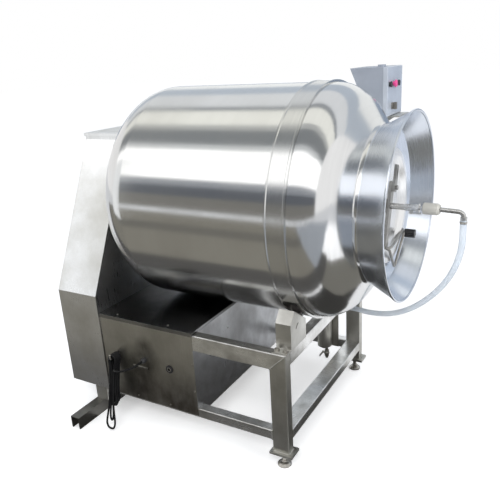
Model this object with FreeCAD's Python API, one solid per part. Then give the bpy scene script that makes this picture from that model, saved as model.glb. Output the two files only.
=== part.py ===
"""Meat vacuum tumbler: a horizontal drum on a shaft and two support rollers, in a welded frame.

The drum turns about +X. The mouth faces +X, the drive tower stands at -X, and +Z is up.
The origin is on the floor, under the middle of the machine. All sizes are in millimetres.
"""
import FreeCAD
import Part
import math
import os

V = FreeCAD.Vector
ORIGIN = V(0, 0, 0)
X_DIR = V(1, 0, 0)
Y_DIR = V(0, 1, 0)
Z_DIR = V(0, 0, 1)

# ---------------------------------------------------------------- driving sizes
FIT = 0.05                 # radial running clearance of pins and shafts
GAP = 0.3                  # gap between seated parts that must not touch
SHEET = 3.0                # cover sheet

DRUM_R = 525.0
BELT_T = 5.0
HALF_W = 490.0             # half width of the frame
TOP_Z = 570.0              # top of the frame
ROLL_R = 50.0
ROLL_Y = HALF_W - 142.0
BED_OF_ROLLER = 60.0       # least height of a roller's axle above the frame
ROLL_REACH = DRUM_R + BELT_T + ROLL_R + GAP
ROLL_DROP = math.sqrt(ROLL_REACH ** 2 - ROLL_Y ** 2)
AXIS_Z = TOP_Z + max(DRUM_R + 25.0, ROLL_DROP + BED_OF_ROLLER)      # drum axis above the floor
ROLL_Z = AXIS_Z - ROLL_DROP

# drum shell
SHELL = 5.0                # wall of the drum and its heads
DRUM_REAR_X = -411.0       # rear end of the cylinder
DRUM_FRONT_X = 397.0       # front end of the cylinder
REAR_KNUCKLE_R = 192.0
REAR_DOME = 4.0
SHOULDER_R = 186.0
SHOULDER_TURN = 56.4       # degrees that the shoulder turns through before the cone
CONE_LENGTH = 121.2        # from the shoulder to the sharp corner of the neck
NECK_FILLET = 18.0
MOUTH_X = 748.0            # rim of the mouth
MOUTH_R = DRUM_R - 118.0
RIM_R = 5.0                # rolled edge of the mouth
BELT_X = (317.0, 407.5)    # riding belt
BEAD_T = 3.5
BEAD_W = 7.0

# mixing flights
FLIGHT_COUNT = 3
FLIGHT_H = 115.0
FLIGHT_T = 5.0
FLIGHT_TWIST = 100.0       # degrees over the length
FLIGHT_X = (-400.0, 380.0)
FLIGHT_STEPS = 8

# shaft and hub
SHAFT_R = 40.0
SHAFT_REAR_X = -912.0
HUB_R = 150.0
HUB_T = 20.0

# chain drive
PITCH = 38.1
DRIVEN_TEETH = 32
DRIVE_TEETH = 16
SPROCKET_T = 22.0
SPROCKET_X = -800.0        # middle of the chain
ROLLER_R = 12.7
TOOTH_GAP = 0.7            # clearance of a chain roller in its tooth gap
OUTPUT_SHAFT_R = 25.0

# mouth closing ring, lid and its fittings
RING_X = (640.0, 652.0)
RING_BORE_R = DRUM_R - 300.0
COLLAR_X = 655.0
LID_R = RING_BORE_R + 23.0
LID_T = 5.0
LID_DISH = 26.0            # how far the dish goes in
LID_FLANGE = 24.0
LID_SLOPE = 20.0           # width of the slope between the flange and the dish
POST_R = 30.0              # foot of the bar in the middle of the dish
LID_FACE_X = 664.0         # outer face of the lid's flange
GASKET_T = 3.7
HINGE_X = 676.0
HINGE_Y = -LID_R - 34.0
HINGE_PIN_R = 8.0
HINGE_HALF = 62.0          # half height of the hinge
BAR_TILT = 17.7            # degrees from vertical
BAR_W = 38.0
BAR_T = 14.0
BAR_UP = 108.0
BAR_DOWN = LID_R - 58.0
FORK_TOP = LID_R - 70.0
FORK_W = 30.0
HANDLE_R = 6.0
# Bends of the handle across and up from the axis, as shares of the lid's radius.
HANDLE_BENDS = ((-0.2661, -0.6855), (-0.2016, -0.746), (0.129, -1.1774), (0.8427, -0.6048), (-0.0806, -0.7258),
                (-0.1613, -0.7379))
KNOB_ANGLE = -40.8         # degrees above the horizontal, on the far side
KNOB_RADIUS = LID_R + 30.0
KNOB_R = 20.0
KNOB_LENGTH = 48.0
STEM_R = 6.0
EAR_R = 18.0
HINGE_BARREL_R = 15.0
LUG_T = 16.0

# rotary vacuum union on the axis
NIPPLE_R = 13.5
VALVE_X = (722.0, 782.0)
VALVE_R = 15.0
UNION_X = (798.0, 867.0)
UNION_R = 25.0
PIPE_R = 10.0
ELBOW_X = 962.0
ELBOW_END_Z = AXIS_Z - 36.0
ELBOW_BEND = 24.0

# frame
TUBE_W = 50.0              # width of every frame tube across the machine
TUBE_H = 80.0              # height of the side top rails, width of the legs
CROSS_H = 65.0             # height of the front top rail
LOW_H = 50.0               # height of the low rails
WALL = 3.0                 # tube wall
TUBE_EDGE = 5.0            # outer corner radius of a tube
LEG_FRONT_X = 369.0
LOW_Z = 132.0
PLATE_T = 12.0
FOOT_Z = 65.0              # underside of the front foot plates, top of the rear channel
PLATE_X = (277.0, 389.0)
PLATE_OUT = 14.0           # how far a foot plate stands out past the frame
STUD_R = 10.0
PAD_R = 32.0
REAR_LEG_X = (-784.0, -704.0)
CHANNEL_X = (-784.0, -728.0)
CHANNEL_HALF = 683.0
CHANNEL_T = 6.0

# lower box
BOX_X = (-670.0, -109.0)
BOX_Z = (144.0, 581.0)
BED_T = 10.0
CROSS_X = (-640.0, -400.0, -165.0)
LATCH_Y = (-230.0, -220.0)
LATCH_Z = (272.0, 321.0)
LOUVRE_X = (-481.0, -389.0)
LOUVRE_Z = 334.0
LOUVRE_R = 7.0

# tower
TOWER_X = (-931.0, -673.0)
TOWER_HALF = HALF_W + 10.0
TOWER_BOTTOM = 150.0
TOWER_CREASE = 675.0
TOWER_TOP = AXIS_Z + 280.0
TOWER_TOP_HALF = 154.0
TOWER_CAP = 30.0
CAP_LIP = 6.0              # how far the cap stands out past the tower
SHAFT_HOLE_R = 60.0

# bearings
STAND_X = (-884.0, -716.0) # middles of the two bearing stands
STAND_TUBE = 50.0
STAND_Y = 150.0
BEARING_BASE_H = 70.0
BEARING_HALF_L = 140.0
BEARING_T = 46.0
BEARING_BOSS_R = 69.0

# support rollers
ROLL_HUB_R = 36.0
ROLL_X = (330.0, 367.0)
AXLE_R = 12.0
GUARD_X = (303.0, 375.0)
GUARD_T = 4.0
GUARD_OUT_Y = ROLL_Y + 92.0
GUARD_IN_Y = ROLL_Y - 60.0
GUARD_BREAK_Z = ROLL_Z + 34.4
GUARD_TOP = (ROLL_Y + 52.0, ROLL_Z + 85.4)
GUARD_IN_Z = ROLL_Z + 4.4
GUARD_BASE_T = 6.0
GUARD_FOOT_Y = HALF_W - 6.0

# drive in the lower box
MOTOR_Z = 400.0
OUTPUT_ABOVE_MOTOR = 41.0  # about how far the output shaft lies above the motor
GEARBOX_X = (-640.0, -420.0)
GEARBOX_W = 210.0
BOSS_OUT = 8.0             # output bearing boss of the gearbox
MOTOR_R = 92.0
MOTOR_X = (-420.0, -140.0)
PUMP_X = (-440.0, -170.0)
PUMP_Y = 190.0 - HALF_W
PUMP_Z = 290.0
PUMP_R = 78.0

# vacuum line
TRAP_X = 180.0
TRAP_Y = HALF_W - 105.0
TRAP_R = 41.0
TRAP_Z = (153.0, 440.0)
TRAP_PLATE_X = (140.0, 245.0)
TRAP_PLATE_Z = (135.0, 545.0)
TRAP_PLATE_T = 6.0
CLAMP_Z = (330.0, 360.0)
HOSE_R = 14.0
INLET_Z = 415.0
INLET_X = 231.0
SUCTION_R = 12.0
SUCTION_Z = 520.0
EXHAUST_X = -255.0
EXHAUST_Z = 363.0
GROMMET_R = 20.0
EXHAUST_R = 11.0

# mains cable
GLAND_X = -406.0
GLAND_Z = 380.0
CABLE_R = 5.0
HOOK_X = -576.0
HOOK_Z = 372.0
HOOK_R = 5.0

# control box
CTRL_X = (317.0, 506.0)
CTRL_Y = (DRUM_R - 95.0, DRUM_R + 157.0)
CTRL_Z = (AXIS_Z + 327.0, AXIS_Z + 562.0)
CTRL_BACK = 99.0           # how far the back slopes in towards the bottom
DOOR_T = 22.0
HINGE_KNUCKLE_R = 4.0
COLUMN_X = (326.0, 376.0)
COLUMN_IN_Y = max(DRUM_R + 16.0, HALF_W + 51.0)
COLUMN_Y = (COLUMN_IN_Y, COLUMN_IN_Y + TUBE_W)
SHELF_T = 8.0
SHELF_X = 545.0
BUTTON_Z = CTRL_Z[0] + 153.0
SELECTOR_Z = CTRL_Z[0] + 48.0
SELECTOR_Y = CTRL_Y[0] + 82.0
BUTTON_ROW = (("start_button", CTRL_Y[0] + 33.0), ("e_stop_button", CTRL_Y[0] + 98.0),
              ("stop_button", CTRL_Y[0] + 168.0))
PANEL_BORE_R = 11.2        # 22 mm panel holes

# The sizes above count X from a point inside the drum. The finished machine has its origin in
# the middle of its length, between the tower's cap and the elbow of the vacuum line.
MIDDLE_X = (TOWER_X[0] - CAP_LIP + ELBOW_X + HOSE_R) / 2

NODES = {}


# ---------------------------------------------------------------- helpers
def box(x, y, z):
    """A block between the two values given for each direction."""
    return Part.makeBox(x[1] - x[0], y[1] - y[0], z[1] - z[0], V(x[0], y[0], z[0]))


def rod(start, end, radius):
    """A round bar from start to end."""
    run = end - start
    return Part.makeCylinder(radius, run.Length, start, run)


def ring(centre, direction, outer, inner, length):
    """A round sleeve."""
    sleeve = Part.makeCylinder(outer, length, centre, direction)
    return sleeve.cut(Part.makeCylinder(inner, length, centre, direction))


def mirrored(shape):
    """The same piece on the other side of the machine."""
    return shape.mirror(ORIGIN, Y_DIR)


def both_sides(shape):
    return [shape, mirrored(shape)]


def prism(points, direction):
    """A straight prism on a closed outline."""
    return Part.Face(Part.makePolygon(points + [points[0]])).extrude(direction)


def yz_prism(points, x):
    """A prism along X between the two values of x, on an outline of (y, z) points."""
    return prism([V(x[0], y, z) for y, z in points], V(x[1] - x[0], 0, 0))


def xz_prism(points, y):
    return prism([V(px, y[0], pz) for px, pz in points], V(0, y[1] - y[0], 0))


def tube(x, y, z, along):
    """A rectangular frame tube with rounded edges. along is 'x', 'y' or 'z'."""
    outer = box(x, y, z)
    trim = {"x": (0, WALL, WALL), "y": (WALL, 0, WALL), "z": (WALL, WALL, 0)}[along]
    inner = box((x[0] + trim[0], x[1] - trim[0]), (y[0] + trim[1], y[1] - trim[1]),
                (z[0] + trim[2], z[1] - trim[2]))
    axis = "xyz".index(along)
    edges = [e for e in outer.Edges if abs(e.tangentAt(e.FirstParameter)[axis]) > 0.9]
    return outer.makeFillet(TUBE_EDGE, edges).cut(inner)


def turned(points):
    """A solid of revolution about the drum axis, from (x, radius) points joined by straight lines."""
    wire = Part.makePolygon([V(x, 0, AXIS_Z + r) for x, r in points + [points[0]]])
    return Part.Face(wire).revolve(V(0, 0, AXIS_Z), X_DIR, 360)


def skin(stations, thickness):
    """A shell of revolution about the drum axis.

    stations is a list of (x, radius, nx, nr): points of the outer face and its outward normal.
    A station with a fifth value True is the middle of an arc between its neighbours.
    """
    def edges(points):
        out = []
        i = 0
        while i < len(points) - 1:
            if len(stations[i + 1]) == 5:
                out.append(Part.Arc(points[i], points[i + 1], points[i + 2]).toShape())
                i += 2
            else:
                out.append(Part.LineSegment(points[i], points[i + 1]).toShape())
                i += 1
        return out

    outer = [V(s[0], 0, AXIS_Z + s[1]) for s in stations]
    inner = [V(s[0] - thickness * s[2], 0, AXIS_Z + s[1] - thickness * s[3]) for s in stations]
    ends = [Part.LineSegment(outer[-1], inner[-1]).toShape()]
    if (outer[0] - inner[0]).Length > 1e-6:
        ends.append(Part.LineSegment(inner[0], outer[0]).toShape())
    wire = Part.Wire(Part.__sortEdges__(edges(outer) + edges(inner) + ends))
    return Part.Face(wire).revolve(V(0, 0, AXIS_Z), X_DIR, 360)


def polar(radius, angle):
    """The (y, z) point at an angle in degrees above the horizontal of the far side, round the axis."""
    a = math.radians(angle)
    return radius * math.cos(a), AXIS_Z + radius * math.sin(a)


def bent_rod(points, radius, bend):
    """A round bar or pipe along straight runs, with the same bend radius at each inner point."""
    edges = []
    start = points[0]
    for before, corner, after in zip(points, points[1:], points[2:]):
        into = (corner - before).normalize()
        out = (after - corner).normalize()
        turn = into.getAngle(out)
        cut = bend * math.tan(turn / 2)
        first = corner - into * cut
        last = corner + out * cut
        inward = (out - into).normalize()
        centre = corner + inward * (bend / math.cos(turn / 2))
        middle = centre - inward * bend
        edges.append(Part.LineSegment(start, first).toShape())
        edges.append(Part.Arc(first, middle, last).toShape())
        start = last
    edges.append(Part.LineSegment(start, points[-1]).toShape())
    path = Part.Wire(edges)
    section = Part.Wire(Part.makeCircle(radius, points[0], points[1] - points[0]))
    return path.makePipeShell([section], True, False)


def routed(points, radius):
    """A cord along runs, each bend as large as its runs allow."""
    edges = []
    radii = []
    start = points[0]
    for before, corner, after in zip(points, points[1:], points[2:]):
        into = corner - before
        out = after - corner
        turn = into.getAngle(out)
        cut = 0.45 * min(into.Length, out.Length)
        radii.append(cut / math.tan(turn / 2))
        into.normalize()
        out.normalize()
        first = corner - into * cut
        last = corner + out * cut
        inward = (out - into).normalize()
        middle = corner + inward * (radii[-1] * (1 / math.cos(turn / 2) - 1))
        edges.append(Part.LineSegment(start, first).toShape())
        edges.append(Part.Arc(first, middle, last).toShape())
        start = last
    edges.append(Part.LineSegment(start, points[-1]).toShape())
    path = Part.Wire(edges)
    section = Part.Wire(Part.makeCircle(radius, points[0], points[1] - points[0]))
    tube_shape = path.makePipeShell([section], True, False)
    print("bend radii %s, length %.0f, volume over section times length %.4f"
          % ([round(r) for r in radii], path.Length,
             tube_shape.Volume / (math.pi * radius ** 2 * path.Length)))
    return tube_shape


def keep(name, *solids):
    """Put one or more separate solids in a named node."""
    shapes = []
    for solid in solids:
        shapes.extend(solid if isinstance(solid, list) else [solid])
    NODES[name] = shapes


def hex_head(point, direction, across, height):
    """A hexagonal bolt head."""
    a = across / math.sqrt(3)
    up = V(direction)
    side = Z_DIR if abs(up.z) < 0.9 else X_DIR
    u = side.cross(up).normalize()
    w = up.cross(u).normalize()
    corners = [point + u * (a * math.cos(math.radians(60 * k))) + w * (a * math.sin(math.radians(60 * k)))
               for k in range(6)]
    return prism(corners, up * height)


# ---------------------------------------------------------------- drum
def neck_geometry():
    """Stations of the shoulder and of the mouth funnel, which meet at the neck seam."""
    turn = math.radians(SHOULDER_TURN)
    centre = (DRUM_FRONT_X, DRUM_R - SHOULDER_R)
    end_n = (math.sin(turn), math.cos(turn))
    half_n = (math.sin(turn / 2), math.cos(turn / 2))
    cone_start = (centre[0] + SHOULDER_R * end_n[0], centre[1] + SHOULDER_R * end_n[1])
    down = (math.cos(turn), -math.sin(turn))
    corner = (cone_start[0] + CONE_LENGTH * down[0], cone_start[1] + CONE_LENGTH * down[1])
    run = (MOUTH_X - corner[0], MOUTH_R - corner[1])
    length = math.hypot(*run)
    up = (run[0] / length, run[1] / length)
    rise = math.atan2(up[1], up[0])
    cut = NECK_FILLET * math.tan((turn + rise) / 2)
    fillet_start = (corner[0] - down[0] * cut, corner[1] - down[1] * cut)
    fillet_end = (corner[0] + up[0] * cut, corner[1] + up[1] * cut)
    fc = (fillet_start[0] + NECK_FILLET * end_n[0], fillet_start[1] + NECK_FILLET * end_n[1])

    def on_fillet(angle, mid=False):
        n = (math.sin(angle), math.cos(angle))
        station = (fc[0] - NECK_FILLET * n[0], fc[1] - NECK_FILLET * n[1], n[0], n[1])
        return station + (True,) if mid else station

    shoulder = [(centre[0], DRUM_R, 0, 1),
                (centre[0] + SHOULDER_R * half_n[0], centre[1] + SHOULDER_R * half_n[1]) + half_n + (True,),
                cone_start + end_n,
                fillet_start + end_n,
                on_fillet(turn / 2, True),
                on_fillet(0)]
    up_n = (-up[1], up[0])
    funnel = [on_fillet(0), on_fillet(-rise / 2, True), fillet_end + up_n, (MOUTH_X, MOUTH_R) + up_n]
    return shoulder, funnel


SHOULDER, FUNNEL = neck_geometry()


def funnel_inner_r(x):
    """Radius of the funnel's inner face at a place along the axis."""
    x0, r0, nx, nr = FUNNEL[2]
    x1, r1 = FUNNEL[3][0], FUNNEL[3][1]
    x0, x1 = x0 - SHELL * nx, x1 - SHELL * nx
    r0, r1 = r0 - SHELL * nr, r1 - SHELL * nr
    return r0 + (r1 - r0) * (x - x0) / (x1 - x0)


def make_drum():
    shell = turned([(DRUM_REAR_X, DRUM_R - SHELL), (DRUM_FRONT_X, DRUM_R - SHELL),
                    (DRUM_FRONT_X, DRUM_R), (DRUM_REAR_X, DRUM_R)])
    keep("drum_shell", shell)

    k = REAR_KNUCKLE_R
    s = math.sqrt(0.5)
    flat_x = DRUM_REAR_X - k
    head = [(DRUM_REAR_X, DRUM_R, 0, 1),
            (DRUM_REAR_X - k * s, DRUM_R - k + k * s, -s, s, True),
            (flat_x, DRUM_R - k, -1, 0),
            (flat_x - REAR_DOME, 0, -1, 0)]
    keep("rear_head", skin(head, SHELL))
    keep("front_shoulder", skin(SHOULDER, SHELL))

    lip = Part.makeTorus(MOUTH_R - SHELL / 2, RIM_R, V(MOUTH_X, 0, AXIS_Z), X_DIR)
    keep("mouth_funnel", skin(FUNNEL, SHELL).fuse(lip).removeSplitter())

    a, b = BELT_X
    low = DRUM_R
    band = [(a, low), (b, low), (b, low + BELT_T + BEAD_T), (b - BEAD_W, low + BELT_T + BEAD_T),
            (b - BEAD_W - BEAD_T, low + BELT_T), (a + BEAD_W + BEAD_T, low + BELT_T),
            (a + BEAD_W, low + BELT_T + BEAD_T), (a, low + BELT_T + BEAD_T)]
    keep("riding_belt", turned(band))


def make_flights():
    """Spiral mixing flights that stand on the inside of the drum."""
    outer = DRUM_R - SHELL - GAP
    flights = []
    for k in range(FLIGHT_COUNT):
        sections = []
        for step in range(FLIGHT_STEPS + 1):
            t = step / FLIGHT_STEPS
            x = FLIGHT_X[0] + t * (FLIGHT_X[1] - FLIGHT_X[0])
            angle = 360.0 / FLIGHT_COUNT * k + FLIGHT_TWIST * t
            half = math.degrees(FLIGHT_T / 2 / outer)
            corners = [polar(outer, angle - half), polar(outer, angle + half),
                       polar(outer - FLIGHT_H, angle + half), polar(outer - FLIGHT_H, angle - half)]
            points = [V(x, y, z) for y, z in corners]
            sections.append(Part.makePolygon(points + [points[0]]))
        flights.append(Part.makeLoft(sections, True, True))
    keep("mixing_flights", flights)


def make_shaft():
    """The drive shaft with its welded hub plate."""
    face_x = DRUM_REAR_X - REAR_KNUCKLE_R - REAR_DOME - GAP
    shaft = rod(V(SHAFT_REAR_X, 0, AXIS_Z), V(face_x, 0, AXIS_Z), SHAFT_R)
    hub = turned([(face_x, 0), (face_x, HUB_R), (face_x - HUB_T, HUB_R),
                  (face_x - HUB_T, 1.6 * SHAFT_R), (face_x - 1.6 * HUB_T, SHAFT_R), (face_x - 1.6 * HUB_T, 0)])
    keep("drum_shaft", shaft.fuse(hub).removeSplitter())


# ---------------------------------------------------------------- chain drive
def pitch_radius(teeth):
    return teeth * PITCH / (2 * math.pi)


def chain_links():
    """The even number of links that puts the drive sprocket nearest to its place on the gearbox."""
    big = pitch_radius(DRIVEN_TEETH)
    small = pitch_radius(DRIVE_TEETH)
    distance = AXIS_Z - MOTOR_Z - OUTPUT_ABOVE_MOTOR
    tilt = math.asin((big - small) / distance)
    path = 2 * distance * math.cos(tilt) + big * (math.pi + 2 * tilt) + small * (math.pi - 2 * tilt)
    return 2 * round(path / PITCH / 2)


CHAIN_LINKS = chain_links()


def chain_centres():
    """Distance between the two sprockets that makes the chain a whole number of links."""
    big = pitch_radius(DRIVEN_TEETH)
    small = pitch_radius(DRIVE_TEETH)
    distance = AXIS_Z - MOTOR_Z
    for _ in range(30):
        tilt = math.asin((big - small) / distance)
        run = CHAIN_LINKS * PITCH - big * (math.pi + 2 * tilt) - small * (math.pi - 2 * tilt)
        distance = run / 2 / math.cos(tilt)
    return distance


CENTRES = chain_centres()
DRIVE_Z = AXIS_Z - CENTRES


def chain_points():
    """Where each chain roller lies, as (y, z), and the path's (y, z) at any length along it."""
    big = pitch_radius(DRIVEN_TEETH)
    small = pitch_radius(DRIVE_TEETH)
    tilt = math.asin((big - small) / CENTRES)
    over = big * (math.pi + 2 * tilt)
    run = CENTRES * math.cos(tilt)
    under = small * (math.pi - 2 * tilt)

    def place(s):
        s = s % (over + under + 2 * run)
        if s < over:                                   # over the driven sprocket
            a = math.pi + tilt - s / big
            return big * math.cos(a), AXIS_Z + big * math.sin(a)
        s -= over
        a = -tilt
        if s < run:                                    # down the far side
            y0, z0 = big * math.cos(a), AXIS_Z + big * math.sin(a)
            y1, z1 = small * math.cos(a), DRIVE_Z + small * math.sin(a)
            return y0 + (y1 - y0) * s / run, z0 + (z1 - z0) * s / run
        s -= run
        if s < under:                                  # round the drive sprocket
            a = -tilt - s / small
            return small * math.cos(a), DRIVE_Z + small * math.sin(a)
        s -= under
        a = math.pi + tilt
        y0, z0 = small * math.cos(a), DRIVE_Z + small * math.sin(a)
        y1, z1 = big * math.cos(a), AXIS_Z + big * math.sin(a)
        return y0 + (y1 - y0) * s / run, z0 + (z1 - z0) * s / run

    first_on_small = over + run
    return [place(k * PITCH) for k in range(CHAIN_LINKS)], tilt, first_on_small


def sprocket(teeth, axis_z, phase, bore_r, hub_r, hub_x):
    """A plate sprocket whose tooth gaps lie on the pitch circle, from the angle phase on."""
    radius = pitch_radius(teeth)
    gap_r = ROLLER_R + TOOTH_GAP
    tip_r = radius + 0.21 * PITCH
    step = 2 * math.pi / teeth
    open_half = math.asin(gap_r / radius) * 0.99       # where a gap's wall crosses the pitch circle
    edges = []
    x = SPROCKET_X - SPROCKET_T / 2
    for k in range(teeth):
        a = phase + k * step

        def at(r, angle):
            return V(x, r * math.cos(angle), axis_z + r * math.sin(angle))
        left, right = at(radius, a - open_half), at(radius, a + open_half)
        tip_half = step * 0.10
        tip_a = at(tip_r, a + step / 2 - tip_half)
        tip_b = at(tip_r, a + step / 2 + tip_half)
        after = at(radius, a + step - open_half)
        edges.append(Part.Arc(left, at(radius - gap_r, a), right).toShape())
        edges.append(Part.LineSegment(right, tip_a).toShape())
        edges.append(Part.LineSegment(tip_a, tip_b).toShape())
        edges.append(Part.LineSegment(tip_b, after).toShape())
    plate = Part.Face(Part.Wire(edges)).extrude(V(SPROCKET_T, 0, 0))
    hub = rod(V(hub_x[0], 0, axis_z), V(hub_x[1], 0, axis_z), hub_r)
    body = plate.fuse(hub)
    bore = rod(V(hub_x[0] - 1, 0, axis_z), V(hub_x[1] + 1, 0, axis_z), bore_r)
    return body.cut(bore).removeSplitter()


def make_chain_drive():
    points, tilt, first_on_small = chain_points()
    hub = (SPROCKET_X - 34, SPROCKET_X + 34)
    keep("driven_sprocket", sprocket(DRIVEN_TEETH, AXIS_Z, math.pi + tilt, SHAFT_R, 62.0, hub))
    ahead = math.ceil(first_on_small / PITCH) * PITCH - first_on_small
    phase = -tilt - ahead / pitch_radius(DRIVE_TEETH)
    drive = sprocket(DRIVE_TEETH, DRIVE_Z, phase, OUTPUT_SHAFT_R, 44.0, hub)
    shaft = rod(V(hub[0] - 6, 0, DRIVE_Z), V(GEARBOX_X[0] - BOSS_OUT - GAP, 0, DRIVE_Z), OUTPUT_SHAFT_R)
    keep("drive_sprocket", drive.fuse(shaft).removeSplitter())

    half = SPROCKET_T / 2
    links = []
    for k, (y, z) in enumerate(points):
        y2, z2 = points[(k + 1) % CHAIN_LINKS]
        along = V(0, y2 - y, z2 - z).normalize()
        across = V(0, -along.z, along.y)
        pin = V(0, y, z)
        far_pin = V(0, y2, z2)
        inset = 0 if k % 2 else 3.4                    # every other link is an outer link
        link = None
        for side in (-1, 1):
            x0 = SPROCKET_X + side * (half + 2.5 + inset)
            start = V(x0, 0, 0)
            e = 15.0
            w = 8.0
            outline = [pin - along * w + across * e * 0.8, pin - along * e, pin - along * w - across * e * 0.8,
                       far_pin + along * w - across * e * 0.8, far_pin + along * e,
                       far_pin + along * w + across * e * 0.8]
            plate = prism([start + p for p in outline], V(side * 3.2, 0, 0))
            link = plate if link is None else link.fuse(plate)
        reach = half + 2.5 + inset + 1
        ten = [V(SPROCKET_X - reach, y + ROLLER_R * math.cos(math.radians(36 * n)),
                 z + ROLLER_R * math.sin(math.radians(36 * n))) for n in range(10)]
        link = link.fuse(prism(ten, V(2 * reach, 0, 0)))
        links.append(link)
    chain = links[0].multiFuse(links[1:])
    keep("roller_chain", chain)


# ---------------------------------------------------------------- mouth ring and lid
def make_throat_ring():
    """The flat ring that closes the neck down to the lid, with the lid's hinge lugs and pin."""
    edge = funnel_inner_r(RING_X[0]) - GAP
    body = turned([(RING_X[0], RING_BORE_R), (RING_X[0], edge), (RING_X[1], edge), (RING_X[1], RING_BORE_R + 12),
                   (COLLAR_X, RING_BORE_R + 10), (COLLAR_X, RING_BORE_R)])
    foot = HINGE_PIN_R + 9
    for side in (-1, 1):
        z0 = AXIS_Z + side * HINGE_HALF
        z = (min(z0, z0 - side * LUG_T), max(z0, z0 - side * LUG_T))
        lug = box((RING_X[1] - 1, HINGE_X), (HINGE_Y - foot, HINGE_Y + foot), z)
        lug = lug.fuse(Part.makeCylinder(foot, LUG_T, V(HINGE_X, HINGE_Y, z[0])))
        body = body.fuse(lug)
    pin = Part.makeCylinder(HINGE_PIN_R, 2 * HINGE_HALF, V(HINGE_X, HINGE_Y, AXIS_Z - HINGE_HALF))
    keep("throat_ring", body.fuse(pin).removeSplitter())


def make_lid():
    """A cover dished into the drum, with a flat flange, a gasket and a hinge arm."""
    flat_r = LID_R - LID_FLANGE
    back = LID_FACE_X - LID_T
    dish_r = flat_r - LID_SLOPE
    depth = LID_DISH
    profile = [V(LID_FACE_X, 0, AXIS_Z + flat_r), V(LID_FACE_X - depth * 0.8, 0, AXIS_Z + dish_r),
               V(LID_FACE_X - depth, 0, AXIS_Z)]
    edges = [Part.LineSegment(V(LID_FACE_X, 0, AXIS_Z + LID_R), profile[0]).toShape(),
             Part.LineSegment(profile[0], profile[1]).toShape(),
             Part.LineSegment(profile[1], profile[2]).toShape(),
             Part.LineSegment(profile[2], profile[2] - V(LID_T, 0, 0)).toShape(),
             Part.LineSegment(profile[2] - V(LID_T, 0, 0), profile[1] - V(LID_T, 0, 3)).toShape(),
             Part.LineSegment(profile[1] - V(LID_T, 0, 3), V(back, 0, AXIS_Z + flat_r - 4)).toShape(),
             Part.LineSegment(V(back, 0, AXIS_Z + flat_r - 4), V(back, 0, AXIS_Z + LID_R)).toShape(),
             Part.LineSegment(V(back, 0, AXIS_Z + LID_R), V(LID_FACE_X, 0, AXIS_Z + LID_R)).toShape()]
    dish = Part.Face(Part.Wire(edges)).revolve(V(0, 0, AXIS_Z), X_DIR, 360)
    bore = HINGE_PIN_R + FIT
    barrel_half = HINGE_HALF - LUG_T - GAP
    barrel = Part.makeCylinder(HINGE_BARREL_R, 2 * barrel_half, V(HINGE_X, HINGE_Y, AXIS_Z - barrel_half))
    arm = box((LID_FACE_X - 2, LID_FACE_X + 10), (HINGE_Y, -flat_r - 2), (AXIS_Z - 26, AXIS_Z + 26))
    y, z = polar(KNOB_RADIUS, KNOB_ANGLE)
    ear = box((back, LID_FACE_X), (LID_R - 20, KNOB_RADIUS + 20), (AXIS_Z - EAR_R, AXIS_Z + EAR_R))
    ear = ear.fuse(Part.makeCylinder(EAR_R, LID_T, V(back, KNOB_RADIUS + EAR_R, AXIS_Z), X_DIR))
    ear.rotate(V(0, 0, AXIS_Z), X_DIR, KNOB_ANGLE)
    cover = dish.multiFuse([barrel, arm, ear]).removeSplitter()
    cover = cover.cut(Part.makeCylinder(bore, 2 * barrel_half + 2, V(HINGE_X, HINGE_Y, AXIS_Z - barrel_half - 1)))
    cover = cover.cut(Part.makeCylinder(STEM_R + FIT, 30, V(back - 5, y, z), X_DIR))
    keep("lid", cover)

    seat = RING_BORE_R + 1
    keep("lid_gasket", ring(V(back - GASKET_T, 0, AXIS_Z), X_DIR, seat + 16, seat, GASKET_T))

    seat_x = LID_FACE_X + GAP
    knob = Part.makeCylinder(KNOB_R, KNOB_LENGTH, V(seat_x + 4, y, z), X_DIR)
    grip = [Part.makeCylinder(5, KNOB_LENGTH + 2, V(seat_x + 3, y + KNOB_R * math.cos(a), z + KNOB_R * math.sin(a)), X_DIR)
            for a in (math.radians(60 * n) for n in range(6))]
    knob = knob.cut(grip[0].multiFuse(grip[1:]))
    shoulder = Part.makeCylinder(10, 5, V(seat_x, y, z), X_DIR)
    stem = rod(V(COLLAR_X + GAP, y, z), V(LID_FACE_X + 10, y, z), STEM_R)
    keep("clamp_knob", knob.multiFuse([shoulder, stem]).removeSplitter())


BAR_X = LID_FACE_X - LID_DISH


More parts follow.
